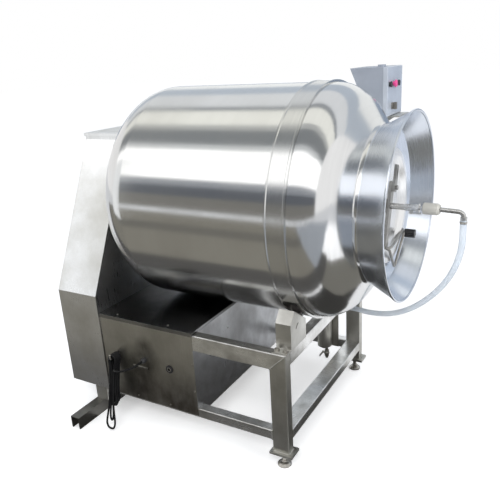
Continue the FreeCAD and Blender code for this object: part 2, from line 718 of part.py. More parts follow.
def make_lid_bar():
    """The bar across the lid, its forked end and the bent handle, all tilted about the axis."""
    x = (BAR_X + 8, BAR_X + 8 + BAR_T)
    bar = box(x, (-BAR_W / 2, BAR_W / 2), (AXIS_Z - BAR_DOWN, AXIS_Z + BAR_UP))
    corners = [e for e in bar.Edges if abs(e.tangentAt(e.FirstParameter).x) > 0.9]
    bar = bar.makeFillet(BAR_W / 2 - 1, corners)
    clear = 0.2 * LID_DISH * POST_R / (LID_R - LID_FLANGE - LID_SLOPE) + 0.04
    post = Part.makeCylinder(POST_R, 8 - clear, V(BAR_X + clear, 0, AXIS_Z), X_DIR)
    bar = bar.fuse(post)
    pivot_up = 80.0
    cheek_x = x[1] + GAP
    fork = box((cheek_x, cheek_x + 12), (-FORK_W / 2, FORK_W / 2), (AXIS_Z + pivot_up - 18, AXIS_Z + FORK_TOP))
    slot = box((cheek_x - 1, cheek_x + 13), (-5, 5), (AXIS_Z + 118, AXIS_Z + FORK_TOP + 1))
    fork = fork.cut(slot)
    bolt = hex_head(V(cheek_x + 12, 0, AXIS_Z + pivot_up), X_DIR, 19, 9)
    fork = fork.fuse(bolt)
    bore = Part.makeCylinder(NIPPLE_R, 60, V(BAR_X - 5, 0, AXIS_Z), X_DIR)
    bar = bar.cut(bore)
    for shape in (bar, fork):
        shape.rotate(V(0, 0, AXIS_Z), X_DIR, -BAR_TILT)
    keep("lid_bar", bar.removeSplitter())
    keep("lid_fork", fork.removeSplitter())

    hx = LID_FACE_X + HANDLE_R + 2
    corners = [V(hx, LID_R * across, AXIS_Z + LID_R * up) for across, up in HANDLE_BENDS]
    corners[0].x = x[1] - 2
    corners[-1].x = x[1] - 2
    handle = bent_rod(corners, HANDLE_R, 15.0)
    keep("lid_handle", handle.cut(bar))


def make_union():
    """Nipple and shut-off valve on the lid, then the rotary union with its elbow."""
    nipple = rod(V(BAR_X + 0.8, 0, AXIS_Z), V(VALVE_X[0], 0, AXIS_Z), NIPPLE_R - GAP)
    valve = rod(V(VALVE_X[0], 0, AXIS_Z), V(VALVE_X[1], 0, AXIS_Z), VALVE_R)
    valve = valve.fuse(hex_head(V(VALVE_X[1] - 14, 0, AXIS_Z), X_DIR, 36, 14))
    neck = rod(V(VALVE_X[1], 0, AXIS_Z), V(UNION_X[0] + 14, 0, AXIS_Z), 9.0)
    mid = (VALVE_X[0] + VALVE_X[1]) / 2 - 4
    boss = rod(V(mid, 0, AXIS_Z), V(mid, 0, AXIS_Z - VALVE_R - 6), 7.0)
    keep("shutoff_valve", nipple.multiFuse([valve, neck, boss]).removeSplitter())

    top = AXIS_Z - VALVE_R - 6 - GAP
    lever = box((mid - 7, mid + 42), (-5, 5), (top - 5, top))
    lever = lever.fuse(Part.makeCylinder(8, 6, V(mid, 0, top - 6), Z_DIR))
    keep("valve_lever", lever.removeSplitter())

    a, b = UNION_X
    body = turned([(a, 0), (a, UNION_R - 3), (a + 3, UNION_R), (b - 10, UNION_R), (b, UNION_R - 6), (b, 0)])
    socket = rod(V(a - 1, 0, AXIS_Z), V(a + 14 + GAP, 0, AXIS_Z), 9.0 + FIT)
    keep("rotary_union", body.cut(socket))

    r = PIPE_R
    pipe = bent_rod([V(b + 1, 0, AXIS_Z), V(ELBOW_X, 0, AXIS_Z - 4), V(ELBOW_X, 0, ELBOW_END_Z)], r, ELBOW_BEND)
    ferrule = Part.makeCylinder(HOSE_R, 12, V(ELBOW_X, 0, ELBOW_END_Z), Z_DIR)
    keep("union_elbow", pipe.fuse(ferrule).removeSplitter())


# ---------------------------------------------------------------- frame
RAIL_IN = HALF_W - TUBE_W
LEG_X = (LEG_FRONT_X - TUBE_H, LEG_FRONT_X)
RAIL_REAR_X = REAR_LEG_X[1]


def mitred(shape, keep_rail):
    """Cut a leg or a rail along the diagonal of the front top corner."""
    low, high = TOP_Z - TUBE_H, TOP_Z
    far = 400.0
    if keep_rail:
        points = [(LEG_X[0] - GAP, low), (LEG_X[0] - GAP + far, low + far), (LEG_X[0] + far, low - far)]
    else:
        points = [(LEG_X[0], low), (LEG_X[0] + far, low + far), (LEG_X[0] - far, high + far)]
    return shape.cut(xz_prism(points, (-HALF_W - 1, HALF_W + 1)))


def make_frame():
    near_y = (-HALF_W, -RAIL_IN)
    leg = tube(LEG_X, near_y, (FOOT_Z + PLATE_T, TOP_Z), "z")
    leg = mitred(leg, False)
    plate = box(PLATE_X, (-HALF_W - PLATE_OUT, -RAIL_IN + PLATE_OUT), (FOOT_Z, FOOT_Z + PLATE_T))
    stud_x = sum(PLATE_X) / 2
    stud_y = -HALF_W + TUBE_W / 2
    plate = plate.cut(Part.makeCylinder(STUD_R + FIT, PLATE_T, V(stud_x, stud_y, FOOT_Z)))
    keep("front_legs", both_sides(leg.fuse(plate)))

    nut_h = 12.0
    foot = turned_z(stud_x, stud_y, [(0, 0), (PAD_R, 0), (PAD_R, 6), (PAD_R - 8, 14), (STUD_R + 4, 18),
                                     (STUD_R + 4, 26), (STUD_R, 26), (STUD_R, FOOT_Z + PLATE_T), (0, FOOT_Z + PLATE_T)])
    nut = hex_head(V(stud_x, stud_y, FOOT_Z - nut_h - GAP), Z_DIR, 30, nut_h)
    keep("levelling_feet", both_sides(foot.fuse(nut)))

    side = mitred(tube((RAIL_REAR_X, LEG_FRONT_X), near_y, (TOP_Z - TUBE_H, TOP_Z), "x"), True)
    front_x = (LEG_FRONT_X - TUBE_W, LEG_FRONT_X)
    cross = tube(front_x, (-RAIL_IN, RAIL_IN), (TOP_Z - CROSS_H, TOP_Z), "y")
    keep("top_rails", both_sides(side), cross)
    low = tube((RAIL_REAR_X, LEG_X[0]), near_y, (LOW_Z, LOW_Z + LOW_H), "x")
    keep("low_rails", both_sides(low), tube(LEG_X, (-RAIL_IN, RAIL_IN), (LOW_Z, LOW_Z + LOW_H), "y"))

    rear = tube(REAR_LEG_X, near_y, (FOOT_Z, TOP_Z), "z")
    keep("rear_legs", both_sides(rear))
    t = CHANNEL_T
    a, b = CHANNEL_X
    u = [(a, 0), (a + t, 0), (a + t, FOOT_Z - t), (b - t, FOOT_Z - t), (b - t, 0), (b, 0), (b, FOOT_Z), (a, FOOT_Z)]
    keep("rear_foot_channel", xz_prism(u, (-CHANNEL_HALF, CHANNEL_HALF)))


def turned_z(x, y, points):
    """A solid of revolution about an upright axis, from (radius, z) points."""
    wire = Part.makePolygon([V(x + r, y, z) for r, z in points + [points[0]]])
    return Part.Face(wire).revolve(V(x, y, 0), Z_DIR, 360)


BED_TOP = LOW_Z + LOW_H + BED_T


def make_bed():
    """Cross members and the plate that carries the drive and the pump."""
    plate = box((BOX_X[0] + 8, BOX_X[1] - SHEET - 4), (-RAIL_IN + 4, RAIL_IN - 4), (BED_TOP - BED_T, BED_TOP))
    parts = []
    for x in CROSS_X:
        parts.append(box((x, x + TUBE_W), (-RAIL_IN, RAIL_IN), (LOW_Z, BED_TOP - BED_T)))
    keep("machine_bed", plate.multiFuse(parts).removeSplitter())


def make_box_covers():
    t = SHEET
    z = BOX_Z
    panel = box(BOX_X, (-HALF_W - t, -HALF_W), z)
    near = panel.cut(Part.makeCylinder(11, t + 2, V(GLAND_X, -HALF_W - t - 1, GLAND_Z), Y_DIR))
    near = near.cut(Part.makeCylinder(GROMMET_R - 4, t + 2, V(EXHAUST_X, -HALF_W - t - 1, EXHAUST_Z), Y_DIR))
    length = LOUVRE_X[1] - LOUVRE_X[0]
    louvre = Part.makeCylinder(LOUVRE_R, length, V(LOUVRE_X[0], -HALF_W - t, LOUVRE_Z), X_DIR)
    outside = box(LOUVRE_X, (-HALF_W - t - LOUVRE_R, -HALF_W - t), (LOUVRE_Z - LOUVRE_R, LOUVRE_Z + LOUVRE_R))
    louvre = louvre.common(outside)
    keep("box_side_panels", near.fuse(louvre).removeSplitter(), mirrored(panel))

    x = (BOX_X[1] - t, BOX_X[1])
    front = box(x, (-RAIL_IN + GAP, RAIL_IN - GAP), (z[0], z[1] - 3))
    for side in (-1, 1):
        y = sorted((side * (RAIL_IN - 1), side * HALF_W))
        middle = box(x, y, (LOW_Z + LOW_H + GAP, TOP_Z - TUBE_H - GAP))
        above = box(x, y, (TOP_Z + GAP, z[1] - 3))
        front = front.multiFuse([middle, above])
    front = front.cut(Part.makeCylinder(SUCTION_R + 2, 20, V(x[0] - 5, TRAP_Y, SUCTION_Z), X_DIR))
    latch = box((x[1], x[1] + 4), LATCH_Y, LATCH_Z)
    keep("box_front_panel", front.fuse(latch).removeSplitter())

    lip = 16.0
    deck = box((BOX_X[0], BOX_X[1] + t + GAP), (-HALF_W - 2 * t - GAP, HALF_W + 2 * t + GAP), (z[1], z[1] + t))
    for side in (-1, 1):
        y = sorted((side * (HALF_W + t + GAP), side * (HALF_W + 2 * t + GAP)))
        deck = deck.fuse(box((BOX_X[0], BOX_X[1] + t + GAP), y, (z[1] - lip, z[1])))
    deck = deck.fuse(box((BOX_X[1] + GAP, BOX_X[1] + t + GAP), (-HALF_W - t, HALF_W + t), (TOP_Z + GAP, z[1])))
    keep("deck_plate", deck.removeSplitter())


def tower_outline(inset):
    """Right half of the tower's front view, moved in by the sheet."""
    half = TOWER_HALF - inset
    top_half = TOWER_TOP_HALF - inset
    return [(half, TOWER_BOTTOM), (half, TOWER_CREASE), (top_half, TOWER_TOP), (top_half, TOWER_TOP + TOWER_CAP - inset)]


def make_tower():
    t = SHEET
    outer = tower_outline(0)
    inner = tower_outline(t)
    inner[0] = (inner[0][0], TOWER_BOTTOM)
    outline = outer + [(-y, z) for y, z in reversed(outer)]
    hollow = inner + [(-y, z) for y, z in reversed(inner)]
    a, b = TOWER_X
    shell = yz_prism(outline, (a + t, b)).cut(yz_prism(hollow, (a + t, b - t)))
    shell = shell.cut(Part.makeCylinder(SHAFT_HOLE_R, 20, V(b - 10, 0, AXIS_Z), X_DIR))
    shell = shell.cut(Part.makeCylinder(OUTPUT_SHAFT_R + 12, 20, V(b - 10, 0, DRIVE_Z), X_DIR))
    for side in (-1, 1):                               # the frame's rails end behind the front wall
        y = sorted((side * (RAIL_IN - GAP), side * (HALF_W + GAP)))
        shell = shell.cut(box((b - 10, b + 10), y, (LOW_Z, LOW_Z + LOW_H + GAP)))
        shell = shell.cut(box((b - 10, b + 10), y, (TOP_Z - TUBE_H - GAP, TOP_Z + GAP)))
    cap_x = (a - CAP_LIP, b + CAP_LIP)
    cap_half = TOWER_TOP_HALF + CAP_LIP
    cap_z = TOWER_TOP + TOWER_CAP
    cap = box(cap_x, (-cap_half, cap_half), (cap_z, cap_z + t))
    rim = box(cap_x, (-cap_half, cap_half), (cap_z - 14, cap_z))
    rim = rim.cut(box((a - GAP, b + GAP), (-TOWER_TOP_HALF - GAP, TOWER_TOP_HALF + GAP), (cap_z - 15, cap_z + 1)))
    keep("tower_shell", shell.removeSplitter())
    keep("tower_cap", cap.fuse(rim).removeSplitter())
    keep("tower_rear_cover", yz_prism(outline, (a, a + t - GAP)))


def make_bearings():
    """Two welded stands with a pillow bearing on each, one in front of and one behind the chain wheel."""
    half = STAND_TUBE / 2
    top = AXIS_Z - BEARING_BASE_H
    stands = []
    bearings = []
    for x in STAND_X:
        xs = (x - half, x + half)
        beam = box(xs, (-STAND_Y - half, STAND_Y + half), (top - 60, top))
        foot = box(xs, (-RAIL_IN, RAIL_IN), (LOW_Z + LOW_H, LOW_Z + LOW_H + 60))
        posts = [box(xs, (s * STAND_Y - half, s * STAND_Y + half), (LOW_Z + LOW_H + 60, top - 60)) for s in (-1, 1)]
        parts = [foot] + posts
        if x == STAND_X[0]:                            # arms forward to the rear legs
            for s in (-1, 1):
                y = sorted((s * (RAIL_IN - 1), s * HALF_W))
                parts.append(box((x - half, REAR_LEG_X[0]), y, (LOW_Z + LOW_H, LOW_Z + LOW_H + 60)))
        stands.append(beam.multiFuse(parts).removeSplitter())
        xb = (x - BEARING_T / 2, x + BEARING_T / 2)
        base = box(xb, (-BEARING_HALF_L, BEARING_HALF_L), (top, top + 22))
        web = yz_prism([(-95, top), (95, top), (BEARING_BOSS_R - 6, AXIS_Z), (-BEARING_BOSS_R + 6, AXIS_Z)], xb)
        boss = Part.makeCylinder(BEARING_BOSS_R, BEARING_T, V(xb[0], 0, AXIS_Z), X_DIR)
        block = base.multiFuse([web, boss])
        block = block.cut(Part.makeCylinder(SHAFT_R + FIT, BEARING_T + 2, V(xb[0] - 1, 0, AXIS_Z), X_DIR))
        bolts = [hex_head(V(x, s * (BEARING_HALF_L - 25), top + 22), Z_DIR, 24, 12) for s in (-1, 1)]
        bearings.append(block.multiFuse(bolts).removeSplitter())
    keep("bearing_stands", stands)
    keep("pillow_bearings", bearings)


def make_gearmotor():
    a, b = GEARBOX_X
    half = GEARBOX_W / 2
    case = Part.makeLoft([
        Part.makePolygon([V(x, -w, z0), V(x, w, z0), V(x, w, z1), V(x, -w, z1), V(x, -w, z0)])
        for x, w, z0, z1 in ((a, half * 0.8, MOTOR_Z - 120, MOTOR_Z + 110), (a + 60, half, MOTOR_Z - 130, MOTOR_Z + 125),
                             (b, half, MOTOR_Z - 130, MOTOR_Z + 115))], True, True)
    case = case.makeFillet(12, [e for e in case.Edges if e.Length > 150 and abs(e.tangentAt(e.FirstParameter).y) > 0.9])
    foot = box((a + 20, b), (-half - 30, half + 30), (BED_TOP, BED_TOP + 20))
    pedestal = box((a + 30, b - 10), (-half + 15, half - 15), (BED_TOP + 19, MOTOR_Z - 120))
    mx = MOTOR_X
    barrel = Part.makeCylinder(MOTOR_R - 12, mx[1] - mx[0], V(mx[0] - 2, 0, MOTOR_Z), X_DIR)
    fins = [Part.makeBox(mx[1] - mx[0] - 70, 4, 26, V(mx[0] + 10, -2, MOTOR_Z + MOTOR_R - 22)) for _ in range(16)]
    for k, fin in enumerate(fins):
        fin.rotate(V(0, 0, MOTOR_Z), X_DIR, 22.5 * k)
    cowl = Part.makeCylinder(MOTOR_R, 56, V(mx[1] - 56, 0, MOTOR_Z), X_DIR)
    terminal = box((mx[0] + 40, mx[0] + 150), (-55, 55), (MOTOR_Z + MOTOR_R - 20, MOTOR_Z + MOTOR_R + 45))
    body = case.multiFuse([foot, pedestal, barrel, cowl, terminal] + fins)
    boss = rod(V(a - BOSS_OUT, 0, DRIVE_Z), V(a + 60, 0, DRIVE_Z), OUTPUT_SHAFT_R + 14)
    keep("gearmotor", body.fuse(boss).removeSplitter())


def make_pump():
    a, b = PUMP_X
    y, z = PUMP_Y, PUMP_Z
    motor = Part.makeCylinder(PUMP_R - 8, 150, V(a, y, z), X_DIR)
    head = box((a + 148, b), (y - 80, y + 80), (z - 70, z + 80))
    head = head.makeFillet(14, [e for e in head.Edges if abs(e.tangentAt(e.FirstParameter).x) > 0.9])
    inlet = Part.makeCylinder(18, 26, V(b - 40, y, z + 79), Z_DIR)
    outlet = Part.makeCylinder(16, 20, V(EXHAUST_X, y - 79 - 20, z + 40), Y_DIR)
    foot = box((a + 20, b - 10), (y - 70, y + 70), (BED_TOP, BED_TOP + 12))
    legs = [box((x, x + 14), (y - 60, y + 60), (BED_TOP + 11, z - 40)) for x in (a + 40, b - 50)]
    keep("vacuum_pump", motor.multiFuse([head, inlet, outlet, foot] + legs).removeSplitter())

    end = V(b - 40, y, z + 105 + GAP)
    top = V(b - 40, y, SUCTION_Z)
    pipe = bent_rod([V(TRAP_X - SUCTION_R - GAP, TRAP_Y, SUCTION_Z), V(b - 40, TRAP_Y, SUCTION_Z), top, end],
                    SUCTION_R, 36.0)

    wall_y = -HALF_W - SHEET
    out = bent_rod([V(EXHAUST_X, y - 99 - GAP, z + 40), V(EXHAUST_X, y - 135, z + 40),
                    V(EXHAUST_X, y - 150, EXHAUST_Z), V(EXHAUST_X, wall_y - 6, EXHAUST_Z)], EXHAUST_R, 12.0)
    hollow = rod(V(EXHAUST_X, wall_y - 7, EXHAUST_Z), V(EXHAUST_X, wall_y + 24, EXHAUST_Z), EXHAUST_R - 3)
    keep("pump_pipes", pipe, out.cut(hollow))
    lip = turned_y(EXHAUST_X, EXHAUST_Z, [(EXHAUST_R + FIT, wall_y - 6), (GROMMET_R, wall_y - 4), (GROMMET_R, wall_y),
                                          (GROMMET_R - 4 - FIT, wall_y), (GROMMET_R - 4 - FIT, -HALF_W),
                                          (GROMMET_R, -HALF_W), (GROMMET_R, -HALF_W + 4), (EXHAUST_R + FIT, -HALF_W + 5)])
    keep("exhaust_grommet", lip)


def turned_y(x, z, points):
    """A solid of revolution about an axis along Y, from (radius, y) points."""
    wire = Part.makePolygon([V(x + r, y, z) for r, y in points + [points[0]]])
    return Part.Face(wire).revolve(V(x, 0, z), Y_DIR, 360)


# ---------------------------------------------------------------- support rollers
def make_rollers():
    x = ROLL_X
    bore = AXLE_R + FIT
    centre = V(x[0], -ROLL_Y, ROLL_Z)
    tyre = ring(centre, X_DIR, ROLL_R, ROLL_HUB_R, x[1] - x[0])
    hub = ring(centre, X_DIR, ROLL_HUB_R, bore, x[1] - x[0])
    boss = ring(V(x[0] - 4, -ROLL_Y, ROLL_Z), X_DIR, AXLE_R + 10, bore, x[1] - x[0] + 7)
    roller = tyre.multiFuse([hub, boss]).removeSplitter()
    keep("near_roller", roller)
    keep("far_roller", mirrored(roller))

    t = GUARD_T
    a, b = GUARD_X
    outline = [(-GUARD_OUT_Y, TOP_Z + GUARD_BASE_T), (-GUARD_OUT_Y, GUARD_BREAK_Z), (-GUARD_TOP[0], GUARD_TOP[1]),
               (-GUARD_IN_Y, GUARD_IN_Z), (-GUARD_IN_Y, TOP_Z + GUARD_BASE_T)]
    cheeks = [yz_prism(outline, xs) for xs in ((a, a + t), (b - t, b))]
    slope = (GUARD_TOP[0] - GUARD_OUT_Y, GUARD_TOP[1] - GUARD_BREAK_Z)
    reach = math.hypot(*slope)
    nx = slope[1] / reach * t
    nz = slope[0] / reach * t
    wall = [(-GUARD_OUT_Y, TOP_Z + GUARD_BASE_T), (-GUARD_OUT_Y, GUARD_BREAK_Z), (-GUARD_TOP[0], GUARD_TOP[1]),
            (-GUARD_TOP[0] + nx, GUARD_TOP[1] + nz), (-GUARD_OUT_Y + t, GUARD_BREAK_Z - 1.5),
            (-GUARD_OUT_Y + t, TOP_Z + GUARD_BASE_T)]
    base = box((a, b), (-GUARD_FOOT_Y, -GUARD_IN_Y), (TOP_Z, TOP_Z + GUARD_BASE_T))
    axle = rod(V(a, -ROLL_Y, ROLL_Z), V(b, -ROLL_Y, ROLL_Z), AXLE_R)
    guard = cheeks[0].multiFuse([cheeks[1], yz_prism(wall, (a, b)), base, axle])
    slot_r = 46.0
    slot = []
    for k in range(5):
        ang = math.radians(118 + 11 * k)
        slot.append(Part.makeCylinder(3.5, 20, V(b - 10, -ROLL_Y + slot_r * math.cos(ang) * 0.9,
                                                 ROLL_Z + slot_r * math.sin(ang) * 0.6 - 8), X_DIR))
    guard = guard.cut(slot[0].multiFuse(slot[1:]))
    keep("roller_brackets", both_sides(guard.removeSplitter()))

    bolts = []
    for bx in (a + 14, b - 16):
        head = hex_head(V(bx, -GUARD_FOOT_Y + 21, TOP_Z + GUARD_BASE_T), Z_DIR, 19, 9)
        washer = Part.makeCylinder(13, 2.5, V(bx, -GUARD_FOOT_Y + 21, TOP_Z + GUARD_BASE_T), Z_DIR)
        bolts += both_sides(head.fuse(washer))
    screws = []
    wall_y = -HALF_W - SHEET
    for sx, sz in ((BOX_X[1] - 8, 418), (BOX_X[1] - 8, 275), (-476, 160), (-274, 160)):
        screws += both_sides(Part.makeCylinder(4.5, 2.5, V(sx, wall_y, sz), V(0, -1, 0)))
    deck_top = BOX_Z[1] + SHEET
    for sx in (-570, -256):
        screws += both_sides(Part.makeCylinder(4.5, 2.5, V(sx, -HALF_W + 22, deck_top), Z_DIR))
    for sy, sz in ((TOWER_HALF - 50, 250), (TOWER_HALF - 50, 620), (300, 950), (190, 1200)):
        screws += both_sides(Part.makeCylinder(5, 3, V(TOWER_X[0], sy, sz), V(-1, 0, 0)))
    keep("bolts_and_screws", bolts + screws)


# ---------------------------------------------------------------- vacuum line
def make_trap():
    """The liquid trap under the drum, with its bracket and drain valve."""
    low, high = TRAP_Z
    r = TRAP_R
    body = turned_z(TRAP_X, TRAP_Y, [(0, low - 8), (r * 0.6, low - 6), (r, low + 6), (r, high - 6),
                                     (r * 0.6, high + 8), (0, high + 10)])
    elbow = Part.makeCylinder(SUCTION_R, SUCTION_Z - high, V(TRAP_X, TRAP_Y, high), Z_DIR)
    knuckle = Part.makeSphere(SUCTION_R, V(TRAP_X, TRAP_Y, SUCTION_Z))
    inlet = rod(V(TRAP_X + r - 2, TRAP_Y, INLET_Z), V(INLET_X, TRAP_Y, INLET_Z), HOSE_R - 3)
    keep("liquid_trap", body.multiFuse([elbow, knuckle, inlet]).removeSplitter())

    clamp = ring(V(TRAP_X, TRAP_Y, CLAMP_Z[0]), Z_DIR, r + 5, r + FIT, CLAMP_Z[1] - CLAMP_Z[0])
    plate_y = (RAIL_IN - GAP - TRAP_PLATE_T, RAIL_IN - GAP)
    plate = box(TRAP_PLATE_X, plate_y, TRAP_PLATE_Z)
    arm = box((TRAP_X - 15, TRAP_X + 15), (TRAP_Y + r + 3, plate_y[0] + 1), CLAMP_Z)
    keep("trap_bracket", clamp.multiFuse([arm, plate]).removeSplitter())

    x = TRAP_X + 12
    body = Part.makeCylinder(13, 36, V(x, TRAP_Y, low - 62), Z_DIR)
    neck = Part.makeCylinder(8, 24, V(x, TRAP_Y, low - 27), Z_DIR)
    ball = Part.makeSphere(16, V(x, TRAP_Y, low - 44))
    spout = Part.makeCylinder(9, 14, V(x, TRAP_Y, low - 74), Z_DIR)
    stem = Part.makeCylinder(5, 22, V(x, TRAP_Y, low - 44), V(-1, 0, 0))
    valve = body.multiFuse([neck, ball, spout, stem])
    trap = NODES["liquid_trap"][0]
    valve = valve.cut(trap)
    valve = valve.cut(Part.makeCylinder(6, 40, V(x, TRAP_Y, low - 75), Z_DIR))
    keep("drain_valve", valve.removeSplitter())
    lx = x - 22 - GAP
    lever = box((lx - 4, lx), (TRAP_Y - 48, TRAP_Y + 6), (low - 50, low - 38))
    keep("drain_lever", lever.fuse(Part.makeCylinder(9, 4, V(lx - 4, TRAP_Y, low - 44), X_DIR)).removeSplitter())


# The hose hangs from the elbow to the trap: each point gives its share of the way from the
# trap to the elbow along X and Z, and from the axis to the trap along Y.
HOSE_ROUTE = ((1, 0, 1), (1, 0, 0.9556), (1, 0.0052, 0.9017), (1, 0.013, 0.8509),
              (0.9863, 0.0519, 0.7432), (0.9302, 0.1558, 0.5772), (0.818, 0.3117, 0.3918),
              (0.6606, 0.5195, 0.2109), (0.4895, 0.7013, 0.0897), (0.313, 0.8831, 0.0239),
              (0.2062, 0.9818, 0.0105), (0.094, 1, 0.003), (0.0502, 1, 0), (0, 1, 0))


def make_hose():
    start = V(INLET_X + GAP, 0, INLET_Z)
    span = V(ELBOW_X - start.x, TRAP_Y, ELBOW_END_Z - GAP - start.z)
    points = [start + V(fx * span.x, fy * span.y, fz * span.z) for fx, fy, fz in HOSE_ROUTE]
    keep("vacuum_hose", routed(points, HOSE_R))


# ---------------------------------------------------------------- mains cable
PANEL_Y = -HALF_W - SHEET
# Points of the cable measured from the middle of its gland on the panel's face.
CABLE_ROUTE = ((0, -26, 0), (0, -52, -1), (-10, -78, -5), (-30, -97, -12), (-56, -107, -21),
               (-83, -108, -30), (-108, -100, -37), (-129, -85, -41), (-146, -67, -43))


def make_cable():
    gland = turned_y(GLAND_X, GLAND_Z, [(CABLE_R + FIT, PANEL_Y - 26), (9, PANEL_Y - 25), (13, PANEL_Y - 14),
                                        (13, PANEL_Y), (10.9, PANEL_Y), (10.9, -HALF_W), (15, -HALF_W),
                                        (15, -HALF_W + 6), (CABLE_R + FIT, -HALF_W + 6)])
    keep("cable_gland", gland)
    keep("mains_cable", routed([V(GLAND_X + dx, PANEL_Y + dy, GLAND_Z + dz) for dx, dy, dz in CABLE_ROUTE], CABLE_R))

    hook = bent_rod([V(HOOK_X, PANEL_Y, HOOK_Z), V(HOOK_X, PANEL_Y - 62, HOOK_Z), V(HOOK_X, PANEL_Y - 62, HOOK_Z + 26)],
                    HOOK_R, 10.0)
    keep("cable_hook", hook)

    def slab(z0, z1, y0, y1, half, x0, x1):
        """A piece of the hank between two levels, leaning out as it goes down."""
        low = Part.makePolygon([V(x0 - half, y0 - 18, z0), V(x0 + half, y0 - 18, z0), V(x0 + half, y0 + 18, z0),
                                V(x0 - half, y0 + 18, z0), V(x0 - half, y0 - 18, z0)])
        high = Part.makePolygon([V(x1 - half, y1 - 18, z1), V(x1 + half, y1 - 18, z1), V(x1 + half, y1 + 18, z1),
                                 V(x1 - half, y1 + 18, z1), V(x1 - half, y1 - 18, z1)])
        return Part.makeLoft([low, high], True, True)
    top = HOOK_Z - HOOK_R - GAP
    fold_y = PANEL_Y - 91
    upper = slab(200, top, fold_y, PANEL_Y - 53, 24, HOOK_X - 2, HOOK_X + 4)
    lower = slab(0, 200, fold_y - 38, fold_y, 20, HOOK_X - 4, HOOK_X - 2)
    hank = upper.fuse(lower)
    keep("cable_hank", hank.cut(NODES["mains_cable"][0]).removeSplitter())


# ---------------------------------------------------------------- control box
def make_control():
    x, y, z = CTRL_X, CTRL_Y, CTRL_Z
    back = x[1] - DOOR_T - GAP
    t = 2.0
    side = [(x[0], z[1]), (x[0] + CTRL_BACK, z[0]), (back, z[0]), (back, z[1])]
    inner = [(x[0] + t + 1, z[1] - t), (x[0] + CTRL_BACK + t, z[0] + t), (back + 1, z[0] + t), (back + 1, z[1] - t)]
    case = xz_prism(side, y).cut(xz_prism(inner, (y[0] + t, y[1] - t)))
    breather = Part.makeCylinder(19, 11, V(x[1] - DOOR_T - 26, y[0] + 60, z[1]), Z_DIR)

    door = box((x[1] - DOOR_T, x[1]), y, (z[0] + 2, z[1]))
    edges = [e for e in door.Edges if abs(e.CenterOfMass.x - x[1]) < 0.1]
    door = door.makeFillet(3, edges)
    door = door.cut(box((x[1] - DOOR_T - 1, x[1] - t), (y[0] + t, y[1] - t), (z[0] + t + 2, z[1] - t)))
    pin_x = x[1] - DOOR_T
    pin_y = y[1] + HINGE_KNUCKLE_R + GAP
    for hz in (z[0] + 35, z[1] - 75):                  # each hinge: the door's knuckle, then the case's above it
        knuckle = Part.makeCylinder(HINGE_KNUCKLE_R, 20, V(pin_x, pin_y, hz), Z_DIR)
        leaf = box((pin_x + 1, pin_x + 8), (y[1] - 1, pin_y), (hz, hz + 20))
        door = door.multiFuse([knuckle, leaf])
        knuckle = Part.makeCylinder(HINGE_KNUCKLE_R, 20, V(pin_x, pin_y, hz + 20 + GAP), Z_DIR)
        leaf = box((pin_x - 8, pin_x - 1), (y[1] - 1, pin_y), (hz + 20 + GAP, hz + 40 + GAP))
        case = case.multiFuse([knuckle, leaf])
    keep("control_box", case.removeSplitter(), breather)
    for name, by in BUTTON_ROW + (("selector_knob", SELECTOR_Y),):
        bz = SELECTOR_Z if name == "selector_knob" else BUTTON_Z
        door = door.cut(Part.makeCylinder(PANEL_BORE_R, 10, V(x[1] - 5, by, bz), X_DIR))
    keep("control_box_door", door.removeSplitter())

    stem_r = PANEL_BORE_R - 0.2
    for name, by in BUTTON_ROW:
        stem = Part.makeCylinder(stem_r, 16, V(x[1] - 10, by, BUTTON_Z), X_DIR)
        if name == "e_stop_button":
            head = [(0, 6), (12, 6), (12, 8), (18, 10), (18, 15), (13, 19), (0, 20)]
            cap = Part.Face(Part.makePolygon([V(x[1] + h, by + r, BUTTON_Z) for r, h in head + [head[0]]]))
            cap = cap.revolve(V(0, by, BUTTON_Z), X_DIR, 360)
            stem = stem.fuse(cap).fuse(Part.makeCylinder(stem_r, 10, V(x[1], by, BUTTON_Z), X_DIR))
        else:
            stem = stem.fuse(Part.makeCylinder(14, 6, V(x[1] + 6, by, BUTTON_Z), X_DIR))
        keep(name, stem.removeSplitter())
    sy = SELECTOR_Y
    knob = Part.makeCylinder(stem_r, 14, V(x[1] - 10, sy, SELECTOR_Z), X_DIR)
    knob = knob.fuse(Part.makeCylinder(17, 8, V(x[1] + GAP, sy, SELECTOR_Z), X_DIR))
    grip = box((x[1] + 8, x[1] + 24), (sy - 6, sy + 6), (SELECTOR_Z - 17, SELECTOR_Z + 17))
    keep("selector_knob", knob.fuse(grip).removeSplitter())


def make_column():
    """The post beside the drum that carries the control box on a gusseted shelf."""
    x, y = COLUMN_X, COLUMN_Y
    top = CTRL_Z[0] - SHELF_T
    post = tube(x, y, (TOP_Z - TUBE_H, top), "z")
    arms = [box((x[0] + 4, LEG_FRONT_X), (HALF_W, y[0] + 1), (z0, z0 + 10)) for z0 in (TOP_Z - TUBE_H + 4, TOP_Z - 16)]
    pad = box((x[0] - 12, LEG_FRONT_X - 1), (HALF_W, HALF_W + 6), (TOP_Z - TUBE_H + 2, TOP_Z - 2))
    shelf = box((x[0], SHELF_X), (y[0] - 41, CTRL_Y[1]), (top, CTRL_Z[0]))
    gusset = xz_prism([(x[1] - 1, top + 1), (SHELF_X - 30, top + 1), (x[1] - 1, top - 90)],
                      ((y[0] + y[1]) / 2 - 3, (y[0] + y[1]) / 2 + 3))
    keep("control_column", post.multiFuse(arms + [pad, shelf, gusset]).removeSplitter())


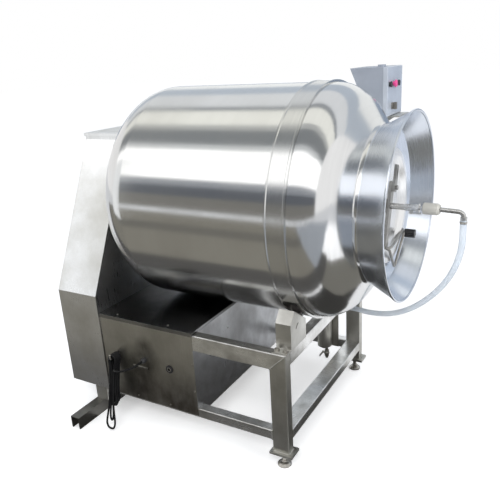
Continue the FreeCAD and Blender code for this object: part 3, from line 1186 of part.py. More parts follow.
def main():
    make_drum()
    make_flights()
    make_shaft()
    make_chain_drive()
    make_throat_ring()
    make_lid()
    make_lid_bar()
    make_union()
    make_frame()
    make_bed()
    make_box_covers()
    make_tower()
    make_bearings()
    make_gearmotor()
    make_pump()
    make_rollers()
    make_trap()
    make_hose()
    make_cable()
    make_control()
    make_column()

    os.makedirs("parts", exist_ok=True)
    for name, solids in NODES.items():
        shape = solids[0] if len(solids) == 1 else Part.makeCompound(solids)
        shape.translate(V(-MIDDLE_X, 0, 0))
        if not shape.isValid():
            print("not valid:", name)
        shape.exportStep("parts/%s.step" % name)
    print(len(NODES), "nodes")


main()
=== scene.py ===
"""Looks of the meat vacuum tumbler: materials, cords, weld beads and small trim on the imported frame.

Metres throughout. Places that carry SHIFT are counted from a point inside the drum, as the part's own
sizes are, and moved to the frame's origin in the middle of the machine's length.
"""
import math

import bmesh
import bpy
from mathutils import Matrix, Vector

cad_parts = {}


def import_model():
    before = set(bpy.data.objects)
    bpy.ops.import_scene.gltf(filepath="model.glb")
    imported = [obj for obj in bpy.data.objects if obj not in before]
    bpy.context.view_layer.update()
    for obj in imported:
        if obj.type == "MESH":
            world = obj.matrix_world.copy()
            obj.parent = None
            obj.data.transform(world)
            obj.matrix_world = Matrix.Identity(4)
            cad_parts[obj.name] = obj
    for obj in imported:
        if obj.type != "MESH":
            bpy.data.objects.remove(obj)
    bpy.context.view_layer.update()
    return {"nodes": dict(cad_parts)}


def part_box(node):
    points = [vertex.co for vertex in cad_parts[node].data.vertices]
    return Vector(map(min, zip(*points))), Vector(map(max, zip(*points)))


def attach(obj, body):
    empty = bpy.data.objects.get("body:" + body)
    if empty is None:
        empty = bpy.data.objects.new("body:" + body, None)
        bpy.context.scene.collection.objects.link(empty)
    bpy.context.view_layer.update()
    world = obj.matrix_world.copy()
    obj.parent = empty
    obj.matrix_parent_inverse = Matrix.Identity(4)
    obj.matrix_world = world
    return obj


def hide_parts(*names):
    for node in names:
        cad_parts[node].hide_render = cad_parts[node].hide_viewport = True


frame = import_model()
nodes = frame["nodes"]

AXIS_Z = 1.12                     # drum axis above the floor
SHIFT = -0.0195                   # from the drum's own zero to the middle of the machine's length
HOSE_RADIUS = 0.014
CABLE_RADIUS = 0.005


# ---------------------------------------------------------------- node trees
class Tree:
    """Short names for building one material."""

    def __init__(self, name):
        self.material = bpy.data.materials.new(name)
        self.material.use_nodes = True
        self.tree = self.material.node_tree
        self.tree.nodes.clear()
        self.shader = self.add("ShaderNodeBsdfPrincipled")
        self.output = self.add("ShaderNodeOutputMaterial")
        self.join(self.shader.outputs[0], self.output.inputs[0])

    def add(self, kind, **settings):
        node = self.tree.nodes.new(kind)
        for key, value in settings.items():
            setattr(node, key, value)
        return node

    def join(self, source, target):
        self.tree.links.new(source, target)
        return source

    def set(self, socket, value):
        """Set a constant on one of the shader's sockets."""
        self.shader.inputs[socket].default_value = value

    def place(self, scale=(1, 1, 1)):
        """Object coordinates in metres, stretched."""
        texture = self.add("ShaderNodeTexCoord")
        mapping = self.add("ShaderNodeMapping")
        mapping.inputs["Scale"].default_value = scale
        self.join(texture.outputs["Object"], mapping.inputs["Vector"])
        return mapping.outputs["Vector"]

    def noise(self, vector, scale=1.0, detail=4.0, rough=0.5):
        node = self.add("ShaderNodeTexNoise")
        node.inputs["Scale"].default_value = scale
        node.inputs["Detail"].default_value = detail
        node.inputs["Roughness"].default_value = rough
        self.join(vector, node.inputs["Vector"])
        return node.outputs["Fac"]

    def ramp(self, value, low, high, start=0.3, end=0.7):
        """Map a value from start..end to low..high."""
        node = self.add("ShaderNodeMapRange")
        node.inputs["From Min"].default_value = start
        node.inputs["From Max"].default_value = end
        node.inputs["To Min"].default_value = low
        node.inputs["To Max"].default_value = high
        self.join(value, node.inputs["Value"])
        return node.outputs["Result"]

    def maths(self, operation, first, second=None):
        node = self.add("ShaderNodeMath", operation=operation)
        for socket, value in zip(node.inputs, (first, second)):
            if value is None:
                continue
            if isinstance(value, (int, float)):
                socket.default_value = value
            else:
                self.join(value, socket)
        return node.outputs[0]

    def mix(self, factor, first, second):
        """Mix two colours, each a colour or a socket."""
        node = self.add("ShaderNodeMix", data_type="RGBA")
        self.join(factor, node.inputs["Factor"])
        for socket, value in ((node.inputs[6], first), (node.inputs[7], second)):
            if isinstance(value, tuple):
                socket.default_value = (*value, 1)
            else:
                self.join(value, socket)
        return node.outputs[2]

    def bump(self, height, strength, distance, edge=0.0):
        """Bump the surface by a height, and round its sharp edges to a radius."""
        node = self.add("ShaderNodeBump")
        node.inputs["Strength"].default_value = strength
        node.inputs["Distance"].default_value = distance
        self.join(height, node.inputs["Height"])
        if edge:
            bevel = self.add("ShaderNodeBevel", samples=4)
            bevel.inputs["Radius"].default_value = edge
            self.join(bevel.outputs["Normal"], node.inputs["Normal"])
        self.join(node.outputs["Normal"], self.shader.inputs["Normal"])

    def spot(self, centre, radius):
        """1 near a point of the machine, falling to 0 at a radius."""
        texture = self.add("ShaderNodeTexCoord")
        distance = self.add("ShaderNodeVectorMath", operation="DISTANCE")
        distance.inputs[1].default_value = (centre[0] + SHIFT, centre[1], centre[2])
        self.join(texture.outputs["Object"], distance.inputs[0])
        return self.ramp(distance.outputs["Value"], 1.0, 0.0, radius * 0.15, radius)

    def axis_radius(self):
        """Distance from the drum axis, and distance along it."""
        texture = self.add("ShaderNodeTexCoord")
        parts = self.add("ShaderNodeSeparateXYZ")
        self.join(texture.outputs["Object"], parts.inputs[0])
        up = self.maths("SUBTRACT", parts.outputs["Z"], AXIS_Z)
        across = self.maths("MULTIPLY", parts.outputs["Y"], parts.outputs["Y"])
        square = self.maths("ADD", across, self.maths("MULTIPLY", up, up))
        return self.maths("SQRT", square), parts.outputs["X"]


def darker(colour, share):
    return tuple(c * share for c in colour)


def steel(name, pale, dark, rough, grain, patch, depth, edge, painted_shade_spots=()):
    """Brushed stainless steel.

    grain is how fast the brush lines change along x, y and z, per metre. patch is how fast the cloudy
    change from pale to dark is. The last argument gives (centre, radius, colour) of each spot of painted
    shade, such as the painted reflection and shadow of a dark cable, mixed into the colour.
    """
    t = Tree(name)
    lines = t.noise(t.place(grain), 1.0, 3.0, 0.6)
    cloud = t.noise(t.place(), patch, 4.0, 0.55)
    colour = t.mix(t.ramp(lines, 0.0, 1.0, 0.25, 0.75), pale, darker(pale, 0.88))
    colour = t.mix(t.ramp(cloud, 0.0, 1.0, 0.38, 0.66), colour, dark)
    # Each spot paints shade into the colour: the steel is darkened towards the spot's tone.
    for centre, radius, tone in painted_shade_spots:
        mottle = t.ramp(t.noise(t.place((14, 14, 9)), 1.0, 5.0, 0.6), 0.2, 1.0)
        colour = t.mix(t.maths("MULTIPLY", t.spot(centre, radius), mottle), colour, tone)
    t.join(colour, t.shader.inputs["Base Color"])
    t.set("Metallic", 1.0)
    roughness = t.maths("ADD", t.ramp(lines, -0.05, 0.06), t.ramp(cloud, rough - 0.04, rough + 0.07))
    t.join(roughness, t.shader.inputs["Roughness"])
    t.bump(lines, depth, 0.0004, edge)
    return t.material


def spun(name, pale, dark, rough, lines_per_m, depth, brushed=0.0):
    """Steel turned or rolled about the drum axis, with its fine lines round the axis."""
    t = Tree(name)
    radius, along = t.axis_radius()
    across = t.maths("ADD", radius, along)
    vector = t.add("ShaderNodeCombineXYZ")
    t.join(t.maths("MULTIPLY", across, lines_per_m), vector.inputs[0])
    parts = t.add("ShaderNodeSeparateXYZ")
    t.join(t.place((3, 2.2, 2.2)), parts.inputs[0])
    t.join(parts.outputs["Y"], vector.inputs[1])
    t.join(parts.outputs["Z"], vector.inputs[2])
    lines = t.noise(vector.outputs[0], 1.0, 3.0, 0.6)
    cloud = t.noise(t.place((2.5, 1.2, 1.2)), 1.6, 3.0, 0.5)
    colour = t.mix(t.ramp(lines, 0.0, 1.0, 0.2, 0.8), pale, darker(pale, 0.93))
    colour = t.mix(t.ramp(cloud, 0.0, 0.8, 0.42, 0.72), colour, dark)
    t.join(colour, t.shader.inputs["Base Color"])
    t.set("Metallic", 1.0)
    roughness = t.maths("ADD", t.ramp(lines, -0.02, 0.03), t.ramp(cloud, rough - 0.02, rough + 0.04))
    t.join(roughness, t.shader.inputs["Roughness"])
    if brushed:
        t.set("Anisotropic", brushed)
        t.set("Anisotropic Rotation", 0.25)
        tangent = t.add("ShaderNodeTangent", direction_type="RADIAL", axis="X")
        t.join(tangent.outputs[0], t.shader.inputs["Tangent"])
    t.bump(lines, depth, 0.0002)
    return t.material


def plain(name, colour, second, rough, grain, depth, metallic=0.0, edge=0.0008, coat=0.0, shine=0.5):
    """Paint, rubber or plastic with a fine grain and a slow change of tone."""
    t = Tree(name)
    fine = t.noise(t.place(), grain * 12, 3.0, 0.6)
    slow = t.noise(t.place(), grain * 0.25, 4.0, 0.6)
    t.join(t.mix(t.ramp(slow, 0.0, 1.0), colour, second), t.shader.inputs["Base Color"])
    t.set("Metallic", metallic)
    t.set("Specular IOR Level", shine)
    t.join(t.ramp(fine, rough - 0.07, rough + 0.08), t.shader.inputs["Roughness"])
    if coat:
        t.set("Coat Weight", coat)
        t.set("Coat Roughness", 0.12)
    t.bump(fine, depth, 0.0005, edge)
    return t.material


def hose_material():
    """Clear PVC with a milky blue tint."""
    t = Tree("clear_hose")
    cloud = t.noise(t.place(), 30, 3.0)
    tint = t.mix(t.ramp(cloud, 0.0, 1.0), (0.80, 0.87, 0.95), (0.90, 0.94, 0.98))
    t.join(tint, t.shader.inputs["Base Color"])
    t.set("Transmission Weight", 0.6)
    t.set("Roughness", 0.3)
    t.set("IOR", 1.4)
    t.set("Coat Weight", 0.3)
    ribs = t.noise(t.place((60, 60, 60)), 1.0, 2.0)
    t.bump(ribs, 0.1, 0.0006)
    return t.material


def emission(name, colour):
    """A plain glow."""
    material = bpy.data.materials.new(name)
    material.use_nodes = True
    tree = material.node_tree
    tree.nodes.clear()
    glow = tree.nodes.new("ShaderNodeEmission")
    glow.inputs["Color"].default_value = (*colour, 1)
    glow.inputs["Strength"].default_value = 1.0
    output = tree.nodes.new("ShaderNodeOutputMaterial")
    tree.links.new(glow.outputs[0], output.inputs[0])
    return material


# ---------------------------------------------------------------- materials of the CAD pieces
drum_steel = spun("drum_brushed", (0.84, 0.84, 0.83), (0.74, 0.735, 0.72), rough=0.15, lines_per_m=900,
                  depth=0.3, brushed=0.55)
dome_steel = spun("dome_spun", (0.80, 0.80, 0.80), (0.68, 0.675, 0.665), rough=0.13, lines_per_m=420,
                  depth=0.16)
bead_steel = spun("bead_polished", (0.74, 0.74, 0.73), (0.62, 0.62, 0.61), rough=0.2, lines_per_m=300,
                  depth=0.1)
funnel_steel = spun("funnel_spun", (0.78, 0.82, 0.89), (0.66, 0.70, 0.77), rough=0.24, lines_per_m=500,
                    depth=0.22)
lid_metal = spun("lid_polished", (0.90, 0.90, 0.90), (0.84, 0.85, 0.87), rough=0.28, lines_per_m=260,
                 depth=0.1)
frame_steel = steel("frame_brushed", (0.74, 0.735, 0.70), (0.52, 0.51, 0.48), rough=0.36,
                    grain=(9, 9, 9), patch=6.0, depth=0.1, edge=0.002)
rail_steel = steel("rail_brushed", (0.97, 0.965, 0.95), (0.56, 0.55, 0.52), rough=0.3,
                   grain=(18, 420, 420), patch=9.0, depth=0.2, edge=0.002)
leg_steel = steel("leg_brushed", (0.66, 0.65, 0.61), (0.46, 0.45, 0.41), rough=0.38,
                  grain=(420, 420, 16), patch=6.0, depth=0.2, edge=0.002)
tower_steel = steel("tower_sheet", (0.92, 0.92, 0.92), (0.66, 0.65, 0.615), rough=0.32,
                    grain=(300, 300, 12), patch=4.0, depth=0.2, edge=0.0015)
# Painted shade on the side sheet: the painted reflection and shadow of the black cable round the gland and
# beside the hank, and darker, browner patches along the sheet's foot.
SIDE_PAINTED_SHADE_SPOTS = (((-0.405, -0.49, 0.375), 0.11, (0.02, 0.02, 0.02)),
               ((-0.40, -0.49, 0.45), 0.07, (0.12, 0.11, 0.10)),
               ((-0.455, -0.49, 0.30), 0.12, (0.01, 0.01, 0.01)),
               ((-0.44, -0.49, 0.21), 0.12, (0.01, 0.01, 0.01)),
               ((-0.27, -0.49, 0.17), 0.26, (0.16, 0.14, 0.12)),
               ((-0.12, -0.49, 0.14), 0.24, (0.14, 0.12, 0.10)),
               ((-0.50, -0.49, 0.12), 0.24, (0.16, 0.14, 0.12)))
panel_steel = steel("side_sheet", (0.58, 0.565, 0.52), (0.40, 0.385, 0.34), rough=0.36,
                    grain=(340, 340, 10), patch=4.0, depth=0.25, edge=0.001, painted_shade_spots=SIDE_PAINTED_SHADE_SPOTS)
front_steel = steel("front_sheet", (0.66, 0.67, 0.69), (0.44, 0.44, 0.45), rough=0.33,
                    grain=(30, 30, 30), patch=7.0, depth=0.15, edge=0.001)
deck_steel = steel("deck_sheet", (0.30, 0.30, 0.30), (0.14, 0.14, 0.145), rough=0.16,
                   grain=(10, 300, 300), patch=4.0, depth=0.12, edge=0.001)
bar_steel = steel("bar_brushed", (0.46, 0.45, 0.43), (0.30, 0.29, 0.275), rough=0.3,
                  grain=(200, 200, 200), patch=20.0, depth=0.1, edge=0.0006)
# The foot channel's steel is made near-black: painted shade, and the painted reflection of the dark floor
# under the machine.
channel_painted_shade_steel = steel("channel_painted_shade", (0.20, 0.195, 0.18), (0.11, 0.105, 0.095), rough=0.34,
                      grain=(9, 300, 300), patch=6.0, depth=0.1, edge=0.002)
cap_steel = steel("cap_dark", (0.40, 0.375, 0.34), (0.26, 0.24, 0.21), rough=0.36,
                  grain=(60, 60, 60), patch=9.0, depth=0.1, edge=0.001)
fitting_steel = steel("fitting_steel", (0.72, 0.71, 0.69), (0.52, 0.51, 0.49), rough=0.26,
                      grain=(200, 200, 200), patch=20.0, depth=0.1, edge=0.0006)
zinc = steel("zinc_plated", (0.60, 0.58, 0.54), (0.34, 0.32, 0.29), rough=0.32,
             grain=(150, 150, 150), patch=60.0, depth=0.15, edge=0.0006)
chain_metal = steel("oiled_chain", (0.34, 0.33, 0.31), (0.14, 0.13, 0.12), rough=0.38,
                    grain=(220, 220, 220), patch=40.0, depth=0.2, edge=0.0006)
machine_paint = plain("machine_enamel", (0.10, 0.20, 0.34), (0.08, 0.15, 0.26), rough=0.38, grain=60,
                      depth=0.25, edge=0.002, coat=0.3)
bearing_paint = plain("cast_paint", (0.09, 0.11, 0.12), (0.05, 0.06, 0.07), rough=0.5, grain=80,
                      depth=0.5, edge=0.002)
tyre_rubber = plain("roller_polyurethane", (0.045, 0.04, 0.038), (0.09, 0.08, 0.075), rough=0.55, grain=50,
                    depth=0.3)
gasket_rubber = plain("white_gasket", (0.80, 0.80, 0.78), (0.66, 0.66, 0.63), rough=0.5, grain=60,
                      depth=0.2)
black_rubber = plain("black_rubber", (0.008, 0.008, 0.009), (0.02, 0.02, 0.02), rough=0.55, grain=90,
                     depth=0.35, shine=0.25)
cable_rubber = plain("cable_sheath", (0.005, 0.005, 0.006), (0.012, 0.012, 0.012), rough=0.5, grain=60,
                     depth=0.3, shine=0.18)
black_plastic = plain("black_plastic", (0.016, 0.016, 0.018), (0.03, 0.03, 0.032), rough=0.38, grain=60,
                      depth=0.2)
union_plastic = plain("union_body", (0.46, 0.45, 0.41), (0.36, 0.35, 0.32), rough=0.34, grain=50,
                      depth=0.15, edge=0.0012, coat=0.2)
red_plastic = plain("red_plastic", (0.66, 0.03, 0.21), (0.76, 0.07, 0.29), rough=0.3, grain=40,
                    depth=0.1, edge=0.001, coat=0.4)
control_paint = plain("control_grey_paint", (0.40, 0.44, 0.51), (0.33, 0.36, 0.42), rough=0.36, grain=20,
                      depth=0.25, metallic=0.35, edge=0.0015, coat=0.2)
door_paint = plain("door_pale_paint", (0.62, 0.67, 0.75), (0.46, 0.50, 0.57), rough=0.34, grain=22,
                   depth=0.25, metallic=0.35, edge=0.0015, coat=0.2)

LOOKS = {
    drum_steel: ["drum_shell"],
    dome_steel: ["rear_head", "front_shoulder", "mixing_flights"],
    bead_steel: ["riding_belt"],
    funnel_steel: ["mouth_funnel", "throat_ring"],
    lid_metal: ["lid"],
    rail_steel: ["top_rails", "low_rails"],
    leg_steel: ["front_legs", "rear_legs", "liquid_trap", "trap_bracket"],
    frame_steel: ["machine_bed", "bearing_stands", "roller_brackets", "control_column"],
    tower_steel: ["tower_shell", "tower_cap", "tower_rear_cover"],
    panel_steel: ["box_side_panels"],
    front_steel: ["box_front_panel"],
    deck_steel: ["deck_plate"],
    bar_steel: ["lid_bar", "lid_fork", "lid_handle"],
    channel_painted_shade_steel: ["rear_foot_channel"],
    cap_steel: ["selector_knob"],
    fitting_steel: ["drum_shaft", "shutoff_valve", "valve_lever", "union_elbow", "pump_pipes", "cable_hook"],
    zinc: ["levelling_feet", "bolts_and_screws", "drain_valve", "drain_lever"],
    chain_metal: ["driven_sprocket", "drive_sprocket", "roller_chain"],
    machine_paint: ["gearmotor", "vacuum_pump"],
    bearing_paint: ["pillow_bearings"],
    tyre_rubber: ["near_roller", "far_roller"],
    gasket_rubber: ["lid_gasket"],
    black_rubber: ["exhaust_grommet"],
    cable_rubber: ["mains_cable", "cable_hank"],
    black_plastic: ["cable_gland", "clamp_knob", "start_button", "stop_button"],
    union_plastic: ["rotary_union"],
    red_plastic: ["e_stop_button"],
    control_paint: ["control_box"],
    door_paint: ["control_box_door"],
}
for material, names in LOOKS.items():
    for name in names:
        mesh = nodes[name].data
        mesh.materials.clear()
        mesh.materials.append(material)


# ---------------------------------------------------------------- making pieces
def mesh_object(name, bm, materials):
    """Turn a bmesh into an object of the scene."""
    mesh = bpy.data.meshes.new(name)
    bm.normal_update()
    bm.to_mesh(mesh)
    bm.free()
    for material in materials:
        mesh.materials.append(material)
    made = bpy.data.objects.new(name, mesh)
    bpy.context.scene.collection.objects.link(made)
    return made


def piece(name, bm, material, body):
    """A finished smooth mesh piece that rides on a body."""
    made = mesh_object(name, bm, [material])
    for face in made.data.polygons:
        face.use_smooth = True
    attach(made, body)
    return made


def sweep(bm, points, radius, sides, ripple=0.0):
    """A tube of changing radius along points, closed at both ends."""
    rings = []
    side = None
    for k, p in enumerate(points):
        ahead = points[min(k + 1, len(points) - 1)] - points[max(k - 1, 0)]
        ahead.normalize()
        if side is None:
            side = ahead.orthogonal().normalized()
        else:
            side = (side - ahead * side.dot(ahead)).normalized()
        other = ahead.cross(side)
        r = radius * (1 + ripple * math.sin(k * 2 * math.pi * 0.31))
        rings.append([bm.verts.new(p + side * r * math.cos(a) + other * r * math.sin(a))
                      for a in (2 * math.pi * n / sides for n in range(sides))])
    for a, b in zip(rings, rings[1:]):
        for n in range(sides):
            m = (n + 1) % sides
            bm.faces.new((a[n], a[m], b[m], b[n]))
    bm.faces.new(list(reversed(rings[0])))
    bm.faces.new(rings[-1])


def cord_curve(name, points, radius, material):
    """A smooth round cord on a quadratic NURBS spline."""
    curve = bpy.data.curves.new(name, "CURVE")
    curve.dimensions = "3D"
    curve.bevel_depth = radius
    curve.bevel_resolution = 6
    curve.resolution_u = 10
    curve.use_fill_caps = True
    spline = curve.splines.new("NURBS")
    spline.points.add(len(points) - 1)
    for target, p in zip(spline.points, points):
        target.co = (*p, 1)
    spline.order_u = 3
    spline.use_endpoint_u = True
    curve.materials.append(material)
    made = bpy.data.objects.new(name, curve)
    bpy.context.scene.collection.objects.link(made)
    return made


def shifted(points):
    return [(x + SHIFT, y, z) for x, y, z in points]


# ---------------------------------------------------------------- vacuum hose
HOSE = shifted([(0.962, 0, 1.0837), (0.962, 0, 1.054), (0.962, 0.002, 1.018), (0.962, 0.005, 0.984),
                (0.952, 0.020, 0.912), (0.911, 0.060, 0.801), (0.829, 0.120, 0.677), (0.714, 0.200, 0.556),
                (0.589, 0.270, 0.475), (0.460, 0.340, 0.431), (0.382, 0.378, 0.422), (0.300, 0.385, 0.417),
                (0.268, 0.385, 0.415), (0.2313, 0.385, 0.415)])
hose = cord_curve("hose_tube", HOSE, HOSE_RADIUS, hose_material())
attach(hose, "frame")
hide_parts("vacuum_hose")


# ---------------------------------------------------------------- mains cable
# From the gland to the hook's right side, then down into the hank.
LEAD = shifted([(-0.406, -0.519, 0.380), (-0.406, -0.545, 0.379), (-0.416, -0.571, 0.375),
                (-0.436, -0.590, 0.368), (-0.462, -0.600, 0.359), (-0.489, -0.601, 0.350),
                (-0.514, -0.593, 0.343), (-0.535, -0.578, 0.335), (-0.5465, -0.572, 0.330),
                (-0.5575, -0.564, 0.316), (-0.5625, -0.562, 0.290)])
HOOK_X = -0.576 + SHIFT
BACK_ROW_Y = -0.5445              # the first row of turns, at the hank's top
ROW_DEPTH = 0.011                 # from one row of turns to the next
ROWS = 4
HANK_LEAN = 0.078                 # how far the hank's foot stands out past its top
LEAN_TOP = 0.365                  # the hank hangs straight above this level
TURN_TOP = 0.325                  # where a turn leaves the hook
TURN_LOWS = (0.009, 0.050, 0.126, 0.140, 0.118, 0.134, 0.130, 0.142)    # lowest level of each turn
OVER_HOOK = ((-0.018, 0.352), (-0.019, 0.374), (-0.009, 0.3905), (0.009, 0.3905), (0.019, 0.374),
             (0.018, 0.352))


def hank_points():
    """Long turns over the hook, the longest first, wide and narrow ones by turns."""
    points = []

    def at(x, z, row):
        lean = -HANK_LEAN * (1 - min(z, LEAN_TOP) / LEAN_TOP)
        return (HOOK_X + x, BACK_ROW_Y + ROW_DEPTH * row + lean, z)

    for k, low in enumerate(TURN_LOWS):
        row = k * ROWS / (len(TURN_LOWS) - 1)
        if k == 0:
            wide, waist = 0.027, 0.0125
        elif k % 2 == 0:
            wide, waist = 0.021, 0.0135
        else:
            wide, waist = 0.010, 0.0065
        if k:
            points += [at(x, z, row - 0.5 + x * 12) for x, z in OVER_HOOK]
        middle = (TURN_TOP + low) / 2
        narrow_end = max(middle - 0.03, low + 0.075)
        down = ((waist + 0.002, TURN_TOP), (waist, middle + 0.03), (waist, narrow_end), (wide, low + 0.048),
                (wide, low + 0.022), (wide * 0.55, low + 0.004))
        points += [at(x, z, row) for x, z in down]
        points += [at(-x, z, row + 0.12) for x, z in reversed(down)]
    return points[1:-2]                                      # the lead joins in, and the tail ends inside


CABLE = LEAD + hank_points()
cable = cord_curve("mains_cable_hank", CABLE, CABLE_RADIUS, cable_rubber)
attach(cable, "frame")
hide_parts("mains_cable", "cable_hank")


# ---------------------------------------------------------------- camera, light and floor
CAMERA_PLACE = (1.34545 + SHIFT, -2.38272, 1.76411)
CAMERA_FORWARD = (-0.48136, 0.81651, -0.31875)
CAMERA_UP = (-0.11138, 0.30373, 0.94623)
FLOOR_HALF = 40
CARD_Z = 0.0006                   # the reflected card lies just above the floor
TENT_RADIUS = 7.0
TENT_ENDS = (-12, 9)              # first and last x of the tent

# Bands of a light tent round the drum axis: (first angle, last angle, colour), from the near floor over
# the top to the far floor.
TENT = [(-4, 9, (0.21, 0.205, 0.19)), (9, 19, (0.12, 0.13, 0.15)), (19, 26, (0.30, 0.32, 0.35)),
        (26, 56, (1.6, 1.6, 1.6)), (56, 62, (0.62, 0.64, 0.65)), (62, 78, (0.24, 0.255, 0.265)),
        (78, 84, (0.5, 0.51, 0.5)), (84, 103, (0.98, 0.98, 0.92)), (103, 109, (0.30, 0.32, 0.34)),
        (109, 132, (0.80, 0.82, 0.84)), (132, 150, (0.52, 0.58, 0.66)), (150, 168, (0.98, 1.0, 1.0)),
        (168, 184, (0.28, 0.34, 0.44))]
BAND_STEP = 4                     # degrees of one flat strip of the tent

# The floor that shiny steel reflects: (first x, last x, first y, last y, colour) of each strip.
FLOOR_STRIPS = [(-9, 2.2, -0.55, -1.0, (0.10, 0.098, 0.095)), (-9, 1.25, -1.0, -2.4, (0.245, 0.235, 0.205)),
                (-9, 1.25, -2.4, -3.4, (0.17, 0.165, 0.15)), (-9, 1.25, -3.4, -7.2, (0.24, 0.23, 0.20)),
                (1.25, 7, -1.0, -7.2, (0.38, 0.41, 0.45)), (-0.15, 0.98, 0.47, -0.47, (0.05, 0.049, 0.047)),
                (0.98, 2.0, 0.5, -0.55, (0.20, 0.195, 0.175))]


def set_camera():
    data = bpy.data.cameras.new("camera")
    data.lens = 41.31
    data.sensor_width = 36.0
    data.clip_end = 100
    camera = bpy.data.objects.new("camera", data)
    bpy.context.scene.collection.objects.link(camera)
    forward = Vector(CAMERA_FORWARD).normalized()
    right = forward.cross(Vector(CAMERA_UP)).normalized()
    up = right.cross(forward)
    turn = Matrix((right, up, -forward)).transposed().to_4x4()
    camera.matrix_world = Matrix.Translation(CAMERA_PLACE) @ turn
    bpy.context.scene.camera = camera


def glowing_card(name, faces):
    """Glowing faces that only shiny surfaces reflect, each with its corners and colour."""
    bm = bmesh.new()
    colours = []
    for corners, colour in faces:
        if colour not in colours:
            colours.append(colour)
        face = bm.faces.new([bm.verts.new(p) for p in corners])
        face.material_index = colours.index(colour)
    card = mesh_object(name, bm, [emission(f"{name}_{k}", colour) for k, colour in enumerate(colours)])
    for flag in ("visible_camera", "visible_diffuse", "visible_transmission", "visible_shadow",
                 "visible_volume_scatter"):
        setattr(card, flag, False)


def light_tent():
    """A long arch of light and dark bands, which give the drum its lengthwise streaks."""
    first, last = TENT_ENDS
    faces = []
    for low, high, colour in TENT:
        count = max(2, int((high - low) / BAND_STEP))
        for k in range(count):
            start = low + (high - low) * k / count
            end = low + (high - low) * (k + 1) / count
            corners = []
            for angle, x in ((start, first), (end, first), (end, last), (start, last)):
                a = math.radians(angle)
                corners.append((x, -TENT_RADIUS * math.cos(a), AXIS_Z + TENT_RADIUS * math.sin(a)))
            faces.append((corners, colour))
    glowing_card("light_tent", faces)


def tower_card():
    """A white card beside the tower, which its sloped side reflects."""
    corners = ((-2.4, -1.3, 0.75), (-1.3, -1.3, 0.75), (-1.3, -1.3, 2.2), (-2.4, -1.3, 2.2))
    glowing_card("tower_card", [(corners, (1.0185, 1.0395, 1.05))])


def floor():
    """A pale floor that keeps the shadow, and the card that shiny steel reflects instead of it."""
    bm = bmesh.new()
    bmesh.ops.create_grid(bm, x_segments=1, y_segments=1, size=FLOOR_HALF)
    t = Tree("pale_floor")
    cloud = t.noise(t.place(), 3.0, 4.0)
    tone = t.mix(t.ramp(cloud, 0.0, 1.0), (0.93, 0.93, 0.93), (0.95, 0.95, 0.95))
    t.join(tone, t.shader.inputs["Base Color"])
    t.set("Roughness", 0.9)
    t.set("Specular IOR Level", 0.0)
    path = t.add("ShaderNodeLightPath")
    glow = t.add("ShaderNodeEmission")
    glow.inputs["Color"].default_value = (1, 1, 1, 1)
    t.join(t.maths("MULTIPLY", path.outputs["Is Camera Ray"], 0.3), glow.inputs["Strength"])
    both = t.add("ShaderNodeAddShader")
    t.join(t.shader.outputs[0], both.inputs[0])
    t.join(glow.outputs[0], both.inputs[1])
    t.join(both.outputs[0], t.output.inputs[0])
    mesh_object("floor", bm, [t.material])

    strips = []
    for left, right, near, far, colour in FLOOR_STRIPS:
        corners = [(x, y, CARD_Z) for x, y in ((left, near), (right, near), (right, far), (left, far))]
        strips.append((corners, colour))
    glowing_card("floor_card", strips)


def world():
    """White to the camera and in mirrors and glass, and a slightly dimmer, cooler light on the rest."""
    scene = bpy.context.scene
    scene.world = bpy.data.worlds.new("world")
    scene.world.use_nodes = True
    tree = scene.world.node_tree
    tree.nodes.clear()

    def background(colour, strength):
        node = tree.nodes.new("ShaderNodeBackground")
        node.inputs["Color"].default_value = colour
        node.inputs["Strength"].default_value = strength
        return node.outputs[0]

    def larger(first, second):
        node = tree.nodes.new("ShaderNodeMath")
        node.operation = "MAXIMUM"
        tree.links.new(first, node.inputs[0])
        tree.links.new(second, node.inputs[1])
        return node.outputs[0]

    path = tree.nodes.new("ShaderNodeLightPath")
    seen = larger(larger(path.outputs["Is Camera Ray"], path.outputs["Is Glossy Ray"]),
                  path.outputs["Is Transmission Ray"])
    mix = tree.nodes.new("ShaderNodeMixShader")
    output = tree.nodes.new("ShaderNodeOutputWorld")
    tree.links.new(seen, mix.inputs[0])
    tree.links.new(background((0.95, 0.97, 1, 1), 0.8), mix.inputs[1])
    tree.links.new(background((1, 1, 1, 1), 1.0), mix.inputs[2])
    tree.links.new(mix.outputs[0], output.inputs[0])


def lamp(name, place, target, size, power):
    """A soft area lamp that doesn't show in mirrors."""
    data = bpy.data.lights.new(name, "AREA")
    data.shape = "RECTANGLE"
    data.size, data.size_y = size
    data.energy = power
    made = bpy.data.objects.new(name, data)
    bpy.context.scene.collection.objects.link(made)
    made.location = place
    made.rotation_euler = (Vector(target) - Vector(place)).to_track_quat("-Z", "Y").to_euler()
    made.visible_glossy = False


set_camera()
world()
floor()
light_tent()
tower_card()
lamp("key", (1.5, -4.5, 4.5), (0, 0, 0.8), (3.0, 2.0), 160)
lamp("front_fill", (5.0, -1.0, 3.0), (0.3, 0, 0.9), (2.5, 2.5), 90)
bpy.context.scene.view_settings.view_transform = "Standard"


# ---------------------------------------------------------------- small pieces
LEG_WIDTH = 0.080                 # along x
TUBE = 0.050                      # along y
MITRE = (0.490, 0.569)            # levels between which the leg and the rail meet at a slant
FOOT_SEAM = 0.0775                # where the leg stands on its foot plate
BEAD_RADIUS = 0.0022
BEAD_STEP = 0.0012                # from one ripple point to the next


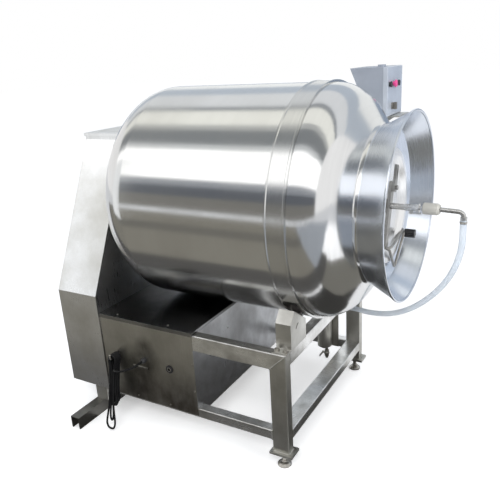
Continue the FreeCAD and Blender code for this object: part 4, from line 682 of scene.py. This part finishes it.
def weld_beads():
    """Rippled weld beads where the frame's tubes meet."""
    bm = bmesh.new()
    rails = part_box("top_rails")
    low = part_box("low_rails")
    front = rails[1].x
    inner = front - LEG_WIDTH
    out = abs(rails[0].y)
    corner_x = inner - 0.0005
    runs = []
    for side in (-1, 1):
        y = side * (out + 0.0002)
        runs.append(((inner, y, MITRE[0]), (front - 0.001, y, MITRE[1])))
        for z in (low[0].z, low[1].z):
            runs.append(((corner_x, side * (out - 0.001), z), (corner_x, side * (out - TUBE + 0.001), z)))
        runs.append(((corner_x, y, low[0].z), (corner_x, y, low[1].z)))
        inside = side * (out - TUBE - 0.0005)
        for z in (low[0].z, low[1].z):
            runs.append(((inner + 0.015, inside, z), (front - 0.015, inside, z)))
        runs.append(((inner + 0.002, y, FOOT_SEAM), (front - 0.002, y, FOOT_SEAM)))
        runs.append(((front + 0.0004, side * (out - 0.003), FOOT_SEAM),
                     (front + 0.0004, side * (out - TUBE + 0.003), FOOT_SEAM)))
    for a, b in runs:
        a, b = Vector(a), Vector(b)
        count = max(4, int((b - a).length / BEAD_STEP))
        sweep(bm, [a + (b - a) * k / count for k in range(count + 1)], BEAD_RADIUS, 8, 0.16)
    return piece("weld_beads", bm, frame_steel, "frame")


# Each clip's centre, the hose's direction there, and the side that the clip's screw is on.
CLIPS = (((0.962, 0, 1.073), (0, 0, 1), (0, -1, 0)), ((0.2435, 0.385, 0.415), (1, 0, 0), (0, 0, 1)))
CLIP_BORE = HOSE_RADIUS + 0.0002
CLIP_OUTER = CLIP_BORE + 0.0012
CLIP_HALF = 0.0045                # half the band's width
CLIP_ROUND = 0.0003               # softened edge of the band
HOUSING_OUT = 0.0185              # from the hose's middle to the screw


def hose_clips():
    """A worm-drive band at each end of the hose, each with its screw."""
    bm = bmesh.new()
    profile = ((CLIP_BORE, -CLIP_HALF), (CLIP_OUTER - CLIP_ROUND, -CLIP_HALF),
               (CLIP_OUTER, -CLIP_HALF + 0.0004), (CLIP_OUTER, CLIP_HALF - 0.0004),
               (CLIP_OUTER - CLIP_ROUND, CLIP_HALF), (CLIP_BORE, CLIP_HALF))
    for place, axis, side in CLIPS:
        centre = Vector(shifted([place])[0])
        axis = Vector(axis)
        side = Vector(side)
        other = axis.cross(side)
        count = 48
        rings = []
        for n in range(count):
            a = 2 * math.pi * n / count
            outward = side * math.cos(a) + other * math.sin(a)
            rings.append([bm.verts.new(centre + outward * r + axis * h) for r, h in profile])
        for n in range(count):
            here, there = rings[n], rings[(n + 1) % count]
            for k in range(len(profile)):
                j = (k + 1) % len(profile)
                bm.faces.new((here[k], here[j], there[j], there[k]))
        screw = centre + side * HOUSING_OUT
        housing = [screw + other * d for d in (-0.009, -0.0085, 0.006, 0.0065)]
        head = [screw + other * d for d in (0.0066, 0.0115, 0.012)]
        sweep(bm, housing, 0.0036, 12)
        sweep(bm, head, 0.0029, 6)
    return piece("hose_clips", bm, zinc, "frame")


weld_beads()
hose_clips()
